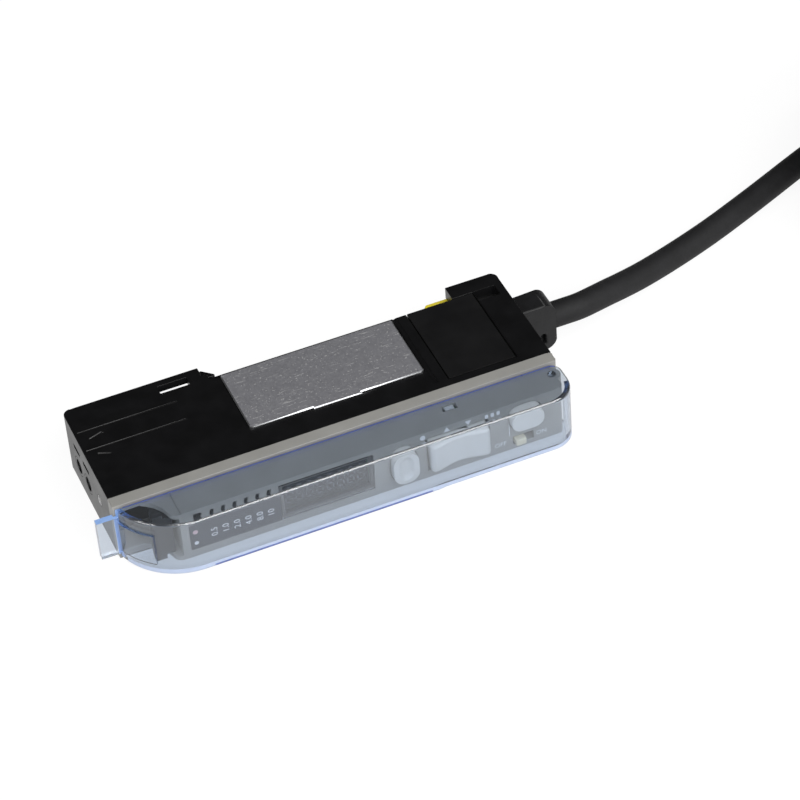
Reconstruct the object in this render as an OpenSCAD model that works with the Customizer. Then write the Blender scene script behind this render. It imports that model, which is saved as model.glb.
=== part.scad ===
// Amplifier for fibre optic sensors, lying on its broad side.
// X runs from the fibre end to the cable end, Y from the panel to the rail, Z across the thickness.

/* [Case] */
// Length of the case from the fibre end to the cable end
case_l = 67.7; // [62:0.1:76]
// Thickness of the case from side to side
case_t = 10; // [9.8:0.1:11.5]
// Depth of the case from the panel joint to the rail seat
case_d = 17; // [15.5:0.1:19]
// Wall of the case
case_wall = 1.2; // [1:0.05:1.4]
// Height of the claws over the rail seat
claw_h = 2.9; // [2.7:0.1:3.6]
// Radius of the back corners
back_r = 1.2; // [0.6:0.1:1.8]

/* [Rail foot] */
// Width of the mounting rail
rail_w = 35; // [34.6:0.1:35.4]
// Thickness of the rail's flange
rail_t = 1; // [0.8:0.05:1.2]
// Length of the latch's block at the cable end
hook_l = 8; // [7.6:0.1:8.6]
// Overlap of each lip on the rail
lip_grip = 1.2; // [0.8:0.1:1.4]
// Travel of the sliding latch
latch_travel = 1.8; // [1.4:0.1:2]
// Width of the sliding latch
latch_w = 5.8; // [4.6:0.1:6.2]
// Reach of the latch out of its block, to the rail's edge
latch_reach = 3.2; // [2.8:0.1:3.6]

/* [Fibre ports] */
// Radius of the fibre bores
fibre_r = 1.12; // [1.05:0.01:1.2]
// Radius of the holes for the ports in the case
port_r = 1.6; // [1.5:0.05:1.7]
// Distance from the rail seat to the receiver port
port_back = 2.7; // [2.6:0.05:3.2]
// Distance between the two ports
port_pitch = 4.1; // [3.9:0.05:4.3]
// Height of the ports over the lower side
port_z = 4; // [3.8:0.05:4.2]
// Length of the fibre holder
holder_l = 14; // [13:0.1:15]

/* [Side plate and connector cover] */
// Length of the metal plate
plate_l = 26.8; // [24:0.1:27.4]
// Width of the metal plate
plate_w = 12.3; // [10:0.1:12.6]
// Thickness of the metal plate
plate_t = 0.4; // [0.3:0.05:0.6]
// Length of the connector cover
door_l = 10.4; // [9:0.1:11]
// Thickness of the connector cover
door_t = 0.8; // [0.6:0.05:0.9]

/* [Panel] */
// Depth of the bezel's rim
rim_d = 2; // [1.8:0.05:2.2]
// Distance from the panel joint to the panel's face
panel_y = 6.9; // [6.7:0.05:7.2]
// Step from the case's sides to the panel's sides
panel_inset = 1; // [0.95:0.05:1.1]
// Side walls of the panel
panel_wall = 0.8; // [0.7:0.05:0.9]
// Front wall of the panel
front_wall = 1; // [0.8:0.05:1.1]
// Start of the panel behind the lever's bay
panel_x = 8; // [7.8:0.1:8.4]
// Length of the display window
window_l = 14.2; // [13:0.1:14.4]
// Distance from the cable end to the display window
window_gap = 30.8; // [30:0.1:31.4]
// Distance between the indicator lenses
lens_pitch = 1.7; // [1.5:0.05:1.75]

/* [Keys] */
// Middle of the set button from the cable end
set_x = 26.3; // [25.9:0.1:26.9]
// Middle of the rocker from the cable end
rocker_x = 17.9; // [17.5:0.1:18.3]
// Length of the rocker
rocker_l = 9.2; // [8.4:0.1:9.4]
// Middle of the mode button from the cable end
mode_x = 7.4; // [7:0.1:7.8]
// How far the buttons stand out of the panel
key_h = 1; // [0.7:0.05:1.2]
// Travel of the buttons
key_travel = 0.3; // [0.2:0.05:0.35]
// Travel of the selector knob
knob_travel = 1.3; // [1:0.05:1.4]

/* [Cover] */
// Distance from the panel joint to the cover's front
cover_y = 9.7; // [9.6:0.05:10.4]
// Wall of the cover's sides
cover_side = 0.7; // [0.6:0.05:0.75]
// Wall of the cover's front
cover_front = 0.8; // [0.7:0.05:0.9]
// Radius of the cover's rounded fibre end
cover_end_r = 10.4; // [10.2:0.05:10.8]
// Reach of the lift tab past the case
tab_reach = 2.7; // [2:0.1:3.5]
// Radius of the hinge pins
hinge_r = 0.6; // [0.5:0.05:0.7]

/* [Lock lever] */
// Middle of the lever's pin from the fibre end
lever_x = 6.5; // [6.4:0.05:6.6]
// Length of the lever from its pin
lever_l = 4.75; // [4.5:0.05:4.8]
// Radius of the lever's pin
pin_r = 0.6; // [0.5:0.05:0.65]
// Stroke of the fibre clamp
clamp_stroke = 0.6; // [0.4:0.05:0.65]

/* [Cable] */
// Diameter of the cable
cable_d = 4; // [3.6:0.1:4.2]
// Reach of the strain relief
gland_l = 5.6; // [5:0.1:7]
// Middle of the cable from the rail seat
gland_back = 4.5; // [4:0.1:5]

/* [Hidden] */

// Clearances
fit = 0.1;
slide = 0.15;
running = 0.05;
past = 1;

// Levels shared by several pieces
mid_z = case_t / 2;
claw_y = case_d + claw_h;
lip_y = case_d + rail_t + fit;
latch_block_x = case_l - hook_l;
rail_x = latch_block_x - latch_reach - rail_w;
port_y = case_d - port_back;
gland_y = case_d - gland_back;
hollow_z0 = panel_inset + panel_wall;
hollow_z1 = case_t - hollow_z0;
hollow_x0 = panel_x + front_wall;
end_wall = 2.4;
hollow_x1 = case_l - end_wall;
wall_back_y = front_wall - panel_y;
skirt_d = 2;
rim_r = 0.5;
seam_w = 0.15;
seam_d = 0.1;

// Place of the whole in its own frame: middle of the box, on the lower side
origin_x = (case_l + gland_l - tab_reach) / 2;
origin_y = (claw_y - cover_y) / 2;

// Rail latch
lip_t = 0.4;
claw_slope = 0.3;
claw_web = 1.2;
claw_pocket_l = 6.7;
claw_slot_l = 4.5;
claw_slot_in = 1.7;
lip_drop = 0.8;
claw_slot_w = 1.6;
latch_roof = 1;
latch_tongue = 3.5;
latch_heel_x = latch_block_x + 0.5;
latch_y0 = case_d + slide;
latch_y1 = claw_y - latch_roof - slide;
latch_end_x = latch_block_x + latch_tongue;
spring_end_x = case_l - case_wall;
spring_wire = 0.15;
spring_turns = 3;

// Fibre end
ports = [port_y, port_y - port_pitch];
port_slot = [2.6, 0.7];
port_slot_z = 7.15;
lens_r = 0.9;
lens_y = port_y - port_pitch - 5.4;
lens_z = 5.5;
holder_x0 = case_wall + fit;
holder_x1 = holder_x0 + holder_l;
holder_y0 = port_y - port_pitch - 2.9;
holder_z1 = 7.4;
groove_l = 15.2;
groove_w = 0.3;
groove_d = 0.15;

// Lever, its cam and the fibre clamp
lever_y = -1;
lever_turn = 48;
cam_h = 2;
cam_rise = clamp_stroke / lever_turn;
hub_r = 1.25;
lever_z0 = hollow_z0 + slide;
lever_z1 = hollow_z1 - slide;
tip_z0 = panel_inset + 0.2;
tip_z1 = case_t - tip_z0;
tip_l = 0.85;
bay_x = 0.9;
bay_r = 5.7;
bay_mid = [1.2, -7];
clamp_w = 2.4;
clamp_z0 = 5.9;
clamp_t = 1.3;
finger_t = 0.8;
finger_w = 1.6;
finger_z0 = port_z - fibre_r;
clamp_x = lever_x;
clamp_foot_y = lever_y + cam_h + 0.06;

// Plate and connector cover on the broad side
plate_x = rail_x + 1.5;
plate_y1 = case_d - 0.4;
plate_r = 0.5;
plate_sink = 0.15;
tongue_x = 9.6;
tongue_l = 7.4;
tongue_w = 0.3;
door_x1 = case_l - 4.9;
door_y0 = 1.4;

// Panel face
window_x = case_l - window_gap - window_l;
window_z0 = 2.3;
window_z1 = hollow_z1 - fit;
window_t = 0.5;
window_lip = 0.6;
label_x = 9.1;
label_t = 0.15;
label_z1 = 6.9;
lens_w = 0.55;
lens_h = 0.9;
lens_x = window_x - 1.5;
power_x = 10.6;
power_w = 1.1;
lens_n = floor((lens_x - power_x - power_w) / lens_pitch) + 1;
board_y = -3.2;
board_t = 0.8;
board_x0 = hollow_x0 + slide;
board_x1 = hollow_x1 - slide;
board_z0 = hollow_z0 + fit;
board_z1 = hollow_z1 - fit;
catch_x = case_l - rocker_x - 0.7;
catch_l = 2.2;
catch_y = -4.1;
catch_w = 1.2;

// Keys
set_size = [3.9, 5.4];
mode_size = [5, 3.3];
set_mid_x = case_l - set_x;
rocker_mid_x = case_l - rocker_x;
mode_mid_x = case_l - mode_x;
mode_mid_z = hollow_z1 - fit - mode_size[1] / 2;
rocker_w = 5;
rocker_dip = 0.5;
rocker_rise = 1.28;
rocker_pin_r = 0.45;
rocker_pin_y = -5.6;
key_gap = 0.15;
rocker_gap = 0.25;
flange_t = 0.6;
flange_y = wall_back_y + slide;
switch_h = 1.3;
plunger_h = 0.25;
plunger_r = 0.6;
switch_w = 2.6;
switch_reach = 3;
knob_size = [1.6, 1.1];
knob_z = 2.6;
knob_x0 = mode_mid_x - 1.95;

// Cover
cover_gap = 0.15;
cover_z0 = panel_inset - cover_gap - cover_side;
cover_z1 = case_t - cover_z0;
cover_rear = -rim_d - 0.15;
cover_end_x = case_l;
cover_corner_r = 4;
cover_edge_r = 0.5;
cover_open_y = -6.1;
end_mid = [cover_end_r - 0.1, cover_end_r - cover_y];
hinge_nose = 1.65;
hinge_x = cover_end_x - hinge_nose;
hinge_y = cover_rear - hinge_nose;
tab_t = 1;
tab_w = 6.8;
pad_w = 5.4;
pad_from = 197;
pad_to = 232;
corner_end = 335;
pad_h = 0.3;
step_x = case_l - 23.7;
step_l = 3;
step_h = 0.45;

// Boards in the case
main_z = 6.4;
main_t = 1;
main_x0 = holder_x1 + 1.9;
main_x1 = case_l - 2.9;
main_y0 = skirt_d + 0.4;
main_y1 = case_d - case_wall - slide;
sensor_r = 1.2;
sensor_l = 2.6;

// Cable, from the mouth of its strain relief
gland_w = 4.1;
gland_z0 = 0.6;
gland_z1 = case_t - 0.95;
gland_neck = [3.2, 6];
gland_flange_t = 1.1;
cable_r = cable_d / 2;
mouth = [case_l + gland_l, gland_y, mid_z];
coil_start = [70, 2.1];
coil_run = 41;
coil_in_r = 12.3;
coil_out_r = 20.5;
coil_lift = 0.6;
coil_layers = 4;
layer_gap = 0.2;
coil_h = coil_layers * cable_d + (coil_layers - 1) * layer_gap;
coil_groove = 0.8;
tie_w = 3;
top_z = coil_lift + coil_h + cable_r;
cable_way = [
  [0, 0, 5], [2.5, 0, 5], [5, 0.2, 4.9], [9.5, 1.6, 4.3], [16, 4, 3.1], [23.5, 7, 2.2], [32, 10.2, 2],
  [42, 14.4, 2], [49, 17.5, 2], [55, 20, 2], [60.5, 21.6, 2.2], [65, 22.4, 2.5], [71, 22.6, 2.6]
];
tail_turn = [for (a = [180:-15:90])
  [coil_out_r * cos(a), coil_out_r * sin(a), top_z - 2 + (180 - a) / 45]];
tail_run = [[8, coil_out_r - 0.5, top_z], [20, coil_out_r - 1.9, top_z], [32, coil_out_r - 2.1, top_z]];
tail_way = [for (p = concat(tail_turn, tail_run)) [coil_start[0] + p[0], coil_start[1] + p[1], p[2]]];
core_r = 0.45;
core_way = [[0, 0, 0], [4, 0.3, -0.1], [9, 0.7, -0.4], [14, 0.9, -0.7], [19, 1, -0.9]];

// Colours
case_black = "#16161a";
bezel_grey = "#8b8b88";
key_white = "#cdcfd0";
board_green = "#1f5b3a";
chip_black = "#202022";
cable_grey = "#2f2f31";
tin = "#b9bcc0";

// Points along an arc
function arc(mid, r, a0, a1, n) =
  [for (i = [0:n]) let (a = a0 + (a1 - a0) * i / n) [mid[0] + r * cos(a), mid[1] + r * sin(a)]];

// Direction of a way at one of its points
function way_dir(way, i) =
  let (d = way[min(i + 1, len(way) - 1)] - way[max(i - 1, 0)]) d / norm(d);

// Ring of points round a way, turned by a direction that the way never takes
function ring(p, d, r, n, ref) =
  let (s = cross(d, ref) / norm(cross(d, ref)), u = cross(s, d))
  [for (k = [0:n - 1]) p + r * (cos(360 * k / n) * s + sin(360 * k / n) * u)];

// Side faces between ring i and the next
function band(i, n) =
  [for (k = [0:n - 1]) [i * n + k, i * n + (k + 1) % n, (i + 1) * n + (k + 1) % n, (i + 1) * n + k]];

// Outline of the cover seen from the broad side, drawn in by d
function cover_outline(d) = concat(
  arc(end_mid, cover_end_r - d, 180 + asin((end_mid[1] - cover_rear + d) / (cover_end_r - d)), 270, 20),
  arc([cover_end_x - cover_corner_r, cover_corner_r - cover_y], cover_corner_r - d, 270, 360, 10),
  arc([hinge_x, hinge_y], hinge_nose - d, 0, 90, 8)
);

// Raised outlines as one solid: each layer is an outline at its own height
module loft(layers, heights) {
  n = len(layers[0]);
  m = len(layers);
  points = [for (j = [0:m - 1], p = layers[j]) [p[0], p[1], heights[j]]];
  faces = concat(
    [[for (k = [0:n - 1]) k]],
    [for (j = [0:m - 2]) for (f = band(j, n)) [f[3], f[2], f[1], f[0]]],
    [[for (k = [n - 1:-1:0]) (m - 1) * n + k]]
  );
  polyhedron(points, faces);
}

// Round tube along a way
module tube(way, r, n, ref = [0, 0, 1]) {
  m = len(way);
  points = [for (i = [0:m - 1], q = ring(way[i], way_dir(way, i), r, n, ref)) q];
  faces = concat(
    [[for (k = [n - 1:-1:0]) k]],
    [for (i = [0:m - 2]) each band(i, n)],
    [[for (k = [0:n - 1]) (m - 1) * n + k]]
  );
  polyhedron(points, faces);
}

// Everything is drawn from the fibre end's lower front corner and then put in its own frame
module place() {
  translate([-origin_x, -origin_y, 0]) children();
}

// Box between its low and high corners
module block(lo, hi) {
  translate(lo) cube(hi - lo);
}

// Outline in X and Y raised from z0 to z1
module upright(z0, z1) {
  translate([0, 0, z0]) linear_extrude(z1 - z0) children();
}

// Outline in X and Z raised from the plane y towards the front
module face_out(y, depth) {
  translate([0, y, 0]) rotate([90, 0, 0]) linear_extrude(depth) children();
}

// Cylinder along X from x0 to x1
module along_x(x0, x1, y, z, r) {
  translate([x0, y, z]) rotate([0, 90, 0]) cylinder(r = r, h = x1 - x0, $fn = 48);
}

// Cylinder along Z from z0 to z1
module along_z(x, y, z0, z1, r) {
  translate([x, y, z0]) cylinder(r = r, h = z1 - z0, $fn = 48);
}

// Rectangle with round corners about its middle
module round_rect(size, r) {
  square([size[0] - 2 * r, size[1]], center = true);
  square([size[0], size[1] - 2 * r], center = true);
  for (x = [-1, 1], y = [-1, 1])
    translate([x * (size[0] / 2 - r), y * (size[1] / 2 - r)]) circle(r, $fn = 32);
}

// Outline of a key, drawn out by d, with ends as round as its narrow side allows
module key_outline(size, d) {
  round_rect(size + [2 * d, 2 * d], min(size) * 0.45 + d);
}

// Stroke engraved in the broad side
module stroke(x, y, length, turn) {
  translate([x, y, case_t - groove_d]) rotate([0, 0, turn]) cube([length, groove_w, past]);
}

// Outline of the case seen from the broad side
module case_outline() {
  polygon(concat(
    [[0, 0], [case_l, 0]],
    arc([case_l - back_r, claw_y - back_r], back_r, 0, 90, 8),
    [
      [latch_block_x, claw_y], [latch_block_x, case_d], [rail_x, case_d], [rail_x, lip_y],
      [rail_x + lip_grip, lip_y], [rail_x + lip_grip, lip_y + lip_t], [rail_x - claw_slope, claw_y]
    ],
    arc([back_r, claw_y - back_r], back_r, 90, 180, 8)
  ));
}

// Outline of the metal plate, drawn out by d
module plate_outline(d) {
  translate([plate_x + plate_l / 2, plate_y1 - plate_w / 2])
    round_rect([plate_l + 2 * d, plate_w + 2 * d], plate_r + d);
  translate([plate_x + tongue_x - d, plate_y1 - plate_w - tongue_w - d])
    square([tongue_l + 2 * d, plate_w / 2]);
}

// Black moulded tub with the fibre ports and the rail foot
module case_shell() {
  color(case_black) place() difference() {
    upright(0, case_t) case_outline();
    block([case_wall, -past, case_wall],
      [case_l - case_wall, case_d - case_wall, case_t - case_wall]);
    block([rail_x - claw_web - claw_pocket_l, case_d, case_wall],
      [rail_x - claw_web, claw_y + past, case_t - case_wall]);
    block([rail_x - claw_web - claw_slot_in - claw_slot_l, case_d + fit, case_t - case_wall - past],
      [rail_x - claw_web - claw_slot_in, case_d + fit + claw_slot_w, case_t + past]);
    block([rail_x - lip_drop, lip_y - fit, case_t - lip_drop],
      [rail_x + lip_grip + past, claw_y + past, case_t + past]);
    block([latch_block_x - past, case_d, mid_z - latch_w / 2 - slide],
      [case_l - case_wall, latch_y1 + slide, mid_z + latch_w / 2 + slide]);
    block([latch_block_x - past, case_d, mid_z - latch_w / 2 - slide],
      [latch_heel_x + latch_travel + slide, claw_y + past, mid_z + latch_w / 2 + slide]);
    block([case_l - 4.6, case_d - 2, case_t - 1.8], [case_l - 1.2, case_d + 0.2, case_t + past]);
    for (y = ports) {
      along_x(-past, case_wall + past, y, port_z, port_r);
      block([-past, y - port_slot[0] / 2, port_slot_z - port_slot[1] / 2],
        [case_wall + past, y + port_slot[0] / 2, port_slot_z + port_slot[1] / 2]);
    }
    along_x(-past, case_wall + past, lens_y, lens_z, lens_r + 0.02);
    block([case_l - case_wall - past, gland_y - gland_neck[0] / 2, mid_z - gland_neck[1] / 2],
      [case_l + past, gland_y + gland_neck[0] / 2, mid_z + gland_neck[1] / 2]);
    upright(case_t - plate_sink, case_t + past) plate_outline(slide);
    block([door_x1 - door_l - slide, door_y0 - slide, case_t - door_t],
      [door_x1 + slide, case_d + slide, case_t + past]);
    block([plate_x + plate_l + 0.3, door_y0, case_t - groove_d],
      [plate_x + plate_l + 0.9, case_d + past, case_t + past]);
    for (y = ports) stroke(0.5, y, groove_l, 0);
    stroke(1.8, port_y - 1.8, 2.1, 16);
    stroke(1.8, port_y - port_pitch - 1.1, 1.9, -22);
  }
}

// Outline of the panel seen from the broad side, scooped out for the lever
module panel_outline() {
  bay_a = asin((-rim_d - bay_mid[1]) / bay_r);
  corner_r = 1.3;
  nose = hinge_x + 0.5;
  polygon(concat(
    [[nose, -rim_d / 2], [bay_mid[0] + bay_r * cos(bay_a), -rim_d / 2]],
    arc(bay_mid, bay_r, bay_a, 13, 10),
    arc([panel_x + 0.1, corner_r - panel_y], corner_r, 180, 270, 6),
    arc([nose - 1, 1 - panel_y], 1, 270, 360, 6)
  ));
  translate([hinge_x, hinge_y]) circle(1.3, $fn = 40);
}

// Openings in the panel's front wall, one for each lens
module lens_row(d) {
  translate([power_x, hollow_z1 - fit - lens_h / 2])
    square([power_w + 2 * d, lens_h + 2 * d], center = true);
  for (i = [0:lens_n - 1])
    translate([lens_x - i * lens_pitch, hollow_z1 - fit - lens_h / 2])
      square([lens_w + 2 * d, lens_h + 2 * d], center = true);
}

// Grey moulding that closes the tub and carries the panel
module panel_bezel() {
  color(bezel_grey) place() difference() {
    union() {
      upright(0, case_t) polygon(concat(
        [[0, 0], [0, -rim_d]],
        arc([case_l - rim_r, rim_r - rim_d], rim_r, 270, 360, 6),
        arc([case_l - rim_r, -rim_r], rim_r, 0, 90, 6)
      ));
      block([case_wall + fit, -past, case_wall + fit],
        [case_l - case_wall - fit, skirt_d, case_t - case_wall - fit]);
      upright(panel_inset, case_t - panel_inset) panel_outline();
    }
    block([hollow_x0, wall_back_y, hollow_z0], [hollow_x1, skirt_d + past, hollow_z1]);
    block([bay_x, -panel_y - past, hollow_z0], [panel_x, skirt_d + past, hollow_z1]);
    block([lever_x, lever_y - 0.3, hollow_z0], [hollow_x0 + past, skirt_d + past, hollow_z1]);
    along_z(lever_x, lever_y, -past, case_t - 0.6, pin_r + 0.02);
    along_z(hinge_x, hinge_y, 0, case_t, hinge_r + running);
    along_z(rocker_mid_x, rocker_pin_y, panel_inset + 0.55, case_t - panel_inset - 0.55,
      rocker_pin_r + running);
    block([catch_x, catch_y, -past], [catch_x + catch_l, catch_y + catch_w, case_t + past]);
    for (z = [panel_inset - past, case_t - panel_inset - seam_d])
      block([panel_x + 0.2, -panel_y - past, z], [panel_x + 0.2 + seam_w, -rim_d, z + past + seam_d]);
    face_out(window_t - panel_y, past) translate([window_x, window_z0])
      square([window_l, window_z1 - window_z0]);
    face_out(wall_back_y + past, 2 * past + front_wall)
      translate([window_x + window_lip, window_z0 + window_lip])
        square([window_l - 2 * window_lip, window_z1 - window_z0 - 2 * window_lip]);
    face_out(label_t - panel_y, past) translate([label_x, window_z0])
      square([window_x - label_x, label_z1 - window_z0]);
    face_out(wall_back_y + past, 2 * past + front_wall) lens_row(0.02);
    face_out(wall_back_y + past, 2 * past + front_wall) {
      translate([set_mid_x, mid_z]) key_outline(set_size, key_gap);
      translate([rocker_mid_x, mid_z])
        square([rocker_l + 2 * rocker_gap, rocker_w + 2 * key_gap], center = true);
      translate([mode_mid_x, mode_mid_z]) key_outline(mode_size, key_gap);
      translate([knob_x0 - key_gap, knob_z - knob_size[1] / 2 - key_gap])
        square([knob_size[0] + knob_travel + 2 * key_gap, knob_size[1] + 2 * key_gap]);
    }
  }
}

// Thin metal plate set into the broad side
module side_plate() {
  color("#8d8e90") place()
    upright(case_t - plate_sink, case_t - plate_sink + plate_t) plate_outline(0);
}

// Flush plate over the side connector
module connector_cover() {
  color(case_black) place()
    block([door_x1 - door_l, door_y0, case_t - door_t], [door_x1, case_d, case_t]);
}

// Small round window in the fibre end
module end_lens() {
  color("#d9dde0") place() {
    along_x(0, case_wall, lens_y, lens_z, lens_r);
    along_x(case_wall, case_wall + 0.5, lens_y, lens_z, lens_r + 0.4);
  }
}

// Strain relief slab held in the cable end
module cable_gland() {
  corner_r = 1.9;
  color(cable_grey) place() difference() {
    union() {
      face_out(gland_y + gland_w / 2, gland_w) polygon(concat(
        [[case_l, gland_z1], [case_l, gland_z0]],
        arc([case_l + gland_l - corner_r, gland_z0 + corner_r], corner_r, 270, 360, 8),
        arc([case_l + gland_l - corner_r, gland_z1 - corner_r], corner_r, 0, 90, 8)
      ));
      block([case_l - case_wall - past / 2, gland_y - gland_neck[0] / 2 + running,
          mid_z - gland_neck[1] / 2 + running],
        [case_l + past, gland_y + gland_neck[0] / 2 - running, mid_z + gland_neck[1] / 2 - running]);
      block([case_l - case_wall - gland_flange_t, gland_y - gland_neck[0] / 2 - 1, case_wall + fit],
        [case_l - case_wall, gland_y + gland_neck[0] / 2 + 1, case_t - case_wall - fit]);
    }
    block([case_l + 3.1, gland_y - gland_w / 2 - past, 1.7],
      [case_l + 3.9, gland_y - gland_w / 2 + 1.2, 3.6]);
  }
}

// Smoked window in front of the digits
module display_window() {
  color("#1b1d22") place() face_out(window_t - panel_y, window_t)
    translate([window_x + running, window_z0 + running])
      square([window_l - 2 * running, window_z1 - window_z0 - 2 * running]);
}

// Dark film that carries the indicator legends
module indicator_label() {
  color("#3b3f45") place() face_out(label_t - panel_y, label_t)
    translate([label_x + running, window_z0 + running])
      square([window_x - label_x - 2 * running, label_z1 - window_z0 - 2 * running]);
}

// Row of light pipes from the indicators to the panel
module indicator_lenses() {
  color("#2a2d33") place() face_out(board_y - 0.8, panel_y + board_y - 0.8) lens_row(0);
}

// Circuit board behind the panel
module panel_board() {
  color(board_green) place() difference() {
    block([board_x0, board_y, board_z0], [board_x1, board_y + board_t, board_z1]);
    for (z = [board_z0, board_z1])
      block([catch_x, board_y - past, z - 1], [catch_x + catch_l, board_y + board_t + past, z + 1]);
  }
}

// Digit module behind the window
module display_module() {
  color("#2b2b2e") place()
    block([window_x + window_lip, board_y - 2.4, window_z0 + window_lip],
      [window_x + window_l - window_lip, board_y, window_z1 - window_lip]);
}

// Light emitting chips behind the light pipes
module indicator_leds() {
  color("#e3d9c2") place() face_out(board_y, 0.7) lens_row(0.1);
}

// One push switch on the panel board
module push_switch(x, z) {
  block([x - switch_w / 2, board_y - switch_h, z - switch_w / 2],
    [x + switch_w / 2, board_y, z + switch_w / 2]);
  face_out(board_y - switch_h, plunger_h) translate([x, z]) circle(plunger_r, $fn = 32);
}

// Push switches under the keys
module key_switches() {
  color("#b8b8ba") place() {
    push_switch(set_mid_x, mid_z);
    for (s = [-1, 1]) push_switch(rocker_mid_x + s * switch_reach, mid_z);
    push_switch(mode_mid_x, mode_mid_z);
  }
}

// Housing of the selector switch
module selector_body() {
  color(chip_black) place()
    block([knob_x0 - 1.2, flange_y + flange_t + fit, hollow_z0 + fit],
      [knob_x0 + knob_size[0] + knob_travel + 1.2, board_y, knob_z + 1]);
}

// Frame behind the panel board with its two catches
module board_carrier() {
  carrier_y = board_y + board_t + running;
  color("#b3b6b6") place() {
    difference() {
      block([board_x0, carrier_y, board_z0], [board_x1, carrier_y + 1, board_z1]);
      block([board_x0 + 1.6, carrier_y - past, board_z0 + 1.2],
        [board_x1 - 1.6, carrier_y + 2, board_z1 - 1.2]);
    }
    for (m = [0, 1]) translate([0, 0, m * case_t]) mirror([0, 0, m]) {
      block([catch_x + 0.4, catch_y + 0.3, board_z0],
        [catch_x + catch_l - 0.4, carrier_y + 0.5, board_z0 + 0.6]);
      block([catch_x + 0.4, catch_y + 0.3, panel_inset + 0.25],
        [catch_x + catch_l - 0.4, catch_y + catch_w - 0.1, board_z0 + 0.3]);
    }
  }
}

// Main circuit board
module main_board() {
  color(board_green) place()
    block([main_x0, main_y0, main_z], [main_x1, main_y1, main_z + main_t]);
}

// Controller on the main board
module controller_chip() {
  color(chip_black) place()
    block([main_x0 + 13, main_y0 + 3.6, main_z + main_t],
      [main_x0 + 20, main_y0 + 10.6, main_z + main_t + 0.9]);
}

// Row of pins from the panel board to the main board
module board_link() {
  link_x = main_x0 + 20;
  color(chip_black) place() {
    block([link_x, main_y0 + 0.1, main_z - 1.5], [link_x + 12, main_y0 + 2.6, main_z]);
    for (i = [0:5]) translate([link_x + 1 + 2 * i, main_y0 + 0.1, main_z - 0.8]) rotate([90, 0, 0])
      cylinder(r = 0.25, h = main_y0 + 0.1 - board_y - board_t, $fn = 16);
  }
}

// Tinned can over the receiver's amplifier
module shield_can() {
  can = [main_x0 + 2.5, main_y1 - 7.4, main_z - 3.4];
  color(tin) place() difference() {
    block(can, [can[0] + 7, can[1] + 7, main_z]);
    block(can + [0.3, 0.3, 0.3], [can[0] + 6.7, can[1] + 6.7, main_z + past]);
  }
}

// Block with the two fibre bores and the slots for the clamp
module fibre_holder() {
  color(case_black) place() difference() {
    union() {
      block([holder_x0, holder_y0, case_wall + fit], [holder_x1, case_d - case_wall - fit, holder_z1]);
      for (y = ports) along_x(0, holder_x0 + past, y, port_z, port_r - running);
    }
    for (y = ports) {
      along_x(-past, holder_x1 + past, y, port_z, fibre_r);
      block([clamp_x - finger_w / 2 - fit, y - fibre_r - finger_t - clamp_stroke - slide,
          finger_z0 - fit],
        [clamp_x + finger_w / 2 + fit, y - fibre_r + fit, clamp_z0 + past]);
    }
    block([clamp_x - clamp_w / 2 - fit, holder_y0 - past, clamp_z0 - fit],
      [clamp_x + clamp_w / 2 + fit, port_y + past, holder_z1 + past]);
  }
}

// Round sensor element at the end of a fibre bore, with two leads up to the board
module sensor(y) {
  along_x(holder_x1 + running, holder_x1 + sensor_l, y, port_z, sensor_r);
  along_x(holder_x1 + sensor_l, holder_x1 + sensor_l + 0.4, y, port_z, sensor_r + 0.2);
  for (s = [-1, 1]) along_z(holder_x1 + sensor_l + 0.2, y + s * 0.7, port_z, main_z, 0.18);
}

// Light source of the sending fibre
module emitter_led() {
  color("#c23b34") place() sensor(port_y - port_pitch);
}

// Light receiver of the returning fibre
module receiver_diode() {
  color("#2c2c30") place() sensor(port_y);
}

// Steel pin of the lock lever
module lever_pin() {
  color(tin) place() along_z(lever_x, lever_y, 0.2, case_t - 0.7, pin_r);
}

// Compression spring behind the latch, wound along X
module latch_spring() {
  steps = 12;
  lead = (spring_end_x - latch_end_x - 2 * running - 2 * spring_wire) / (spring_turns * steps);
  spring_r = 0.75;
  way = [for (i = [0:spring_turns * steps])
    [i * lead, spring_r * cos(360 * i / steps), spring_r * sin(360 * i / steps)]];
  color(tin) place()
    translate([latch_end_x + running + spring_wire, (latch_y0 + latch_y1) / 2, mid_z])
      tube(way, spring_wire, 6, [1, 0, 0]);
}

// Step in the cover's lower front edge, from its middle to the cable end
module cover_step() {
  rise = [for (i = [0:8]) [step_x + step_l * i / 8, cover_z0 + step_h * (1 - cos(22.5 * i)) / 2]];
  face_out(1.2 - cover_y, 1.2 + past) polygon(concat(
    [[step_x, cover_z0 - past]],
    rise,
    [[cover_end_x + past, cover_z0 + step_h], [cover_end_x + past, cover_z0 - past]]
  ));
}

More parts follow.
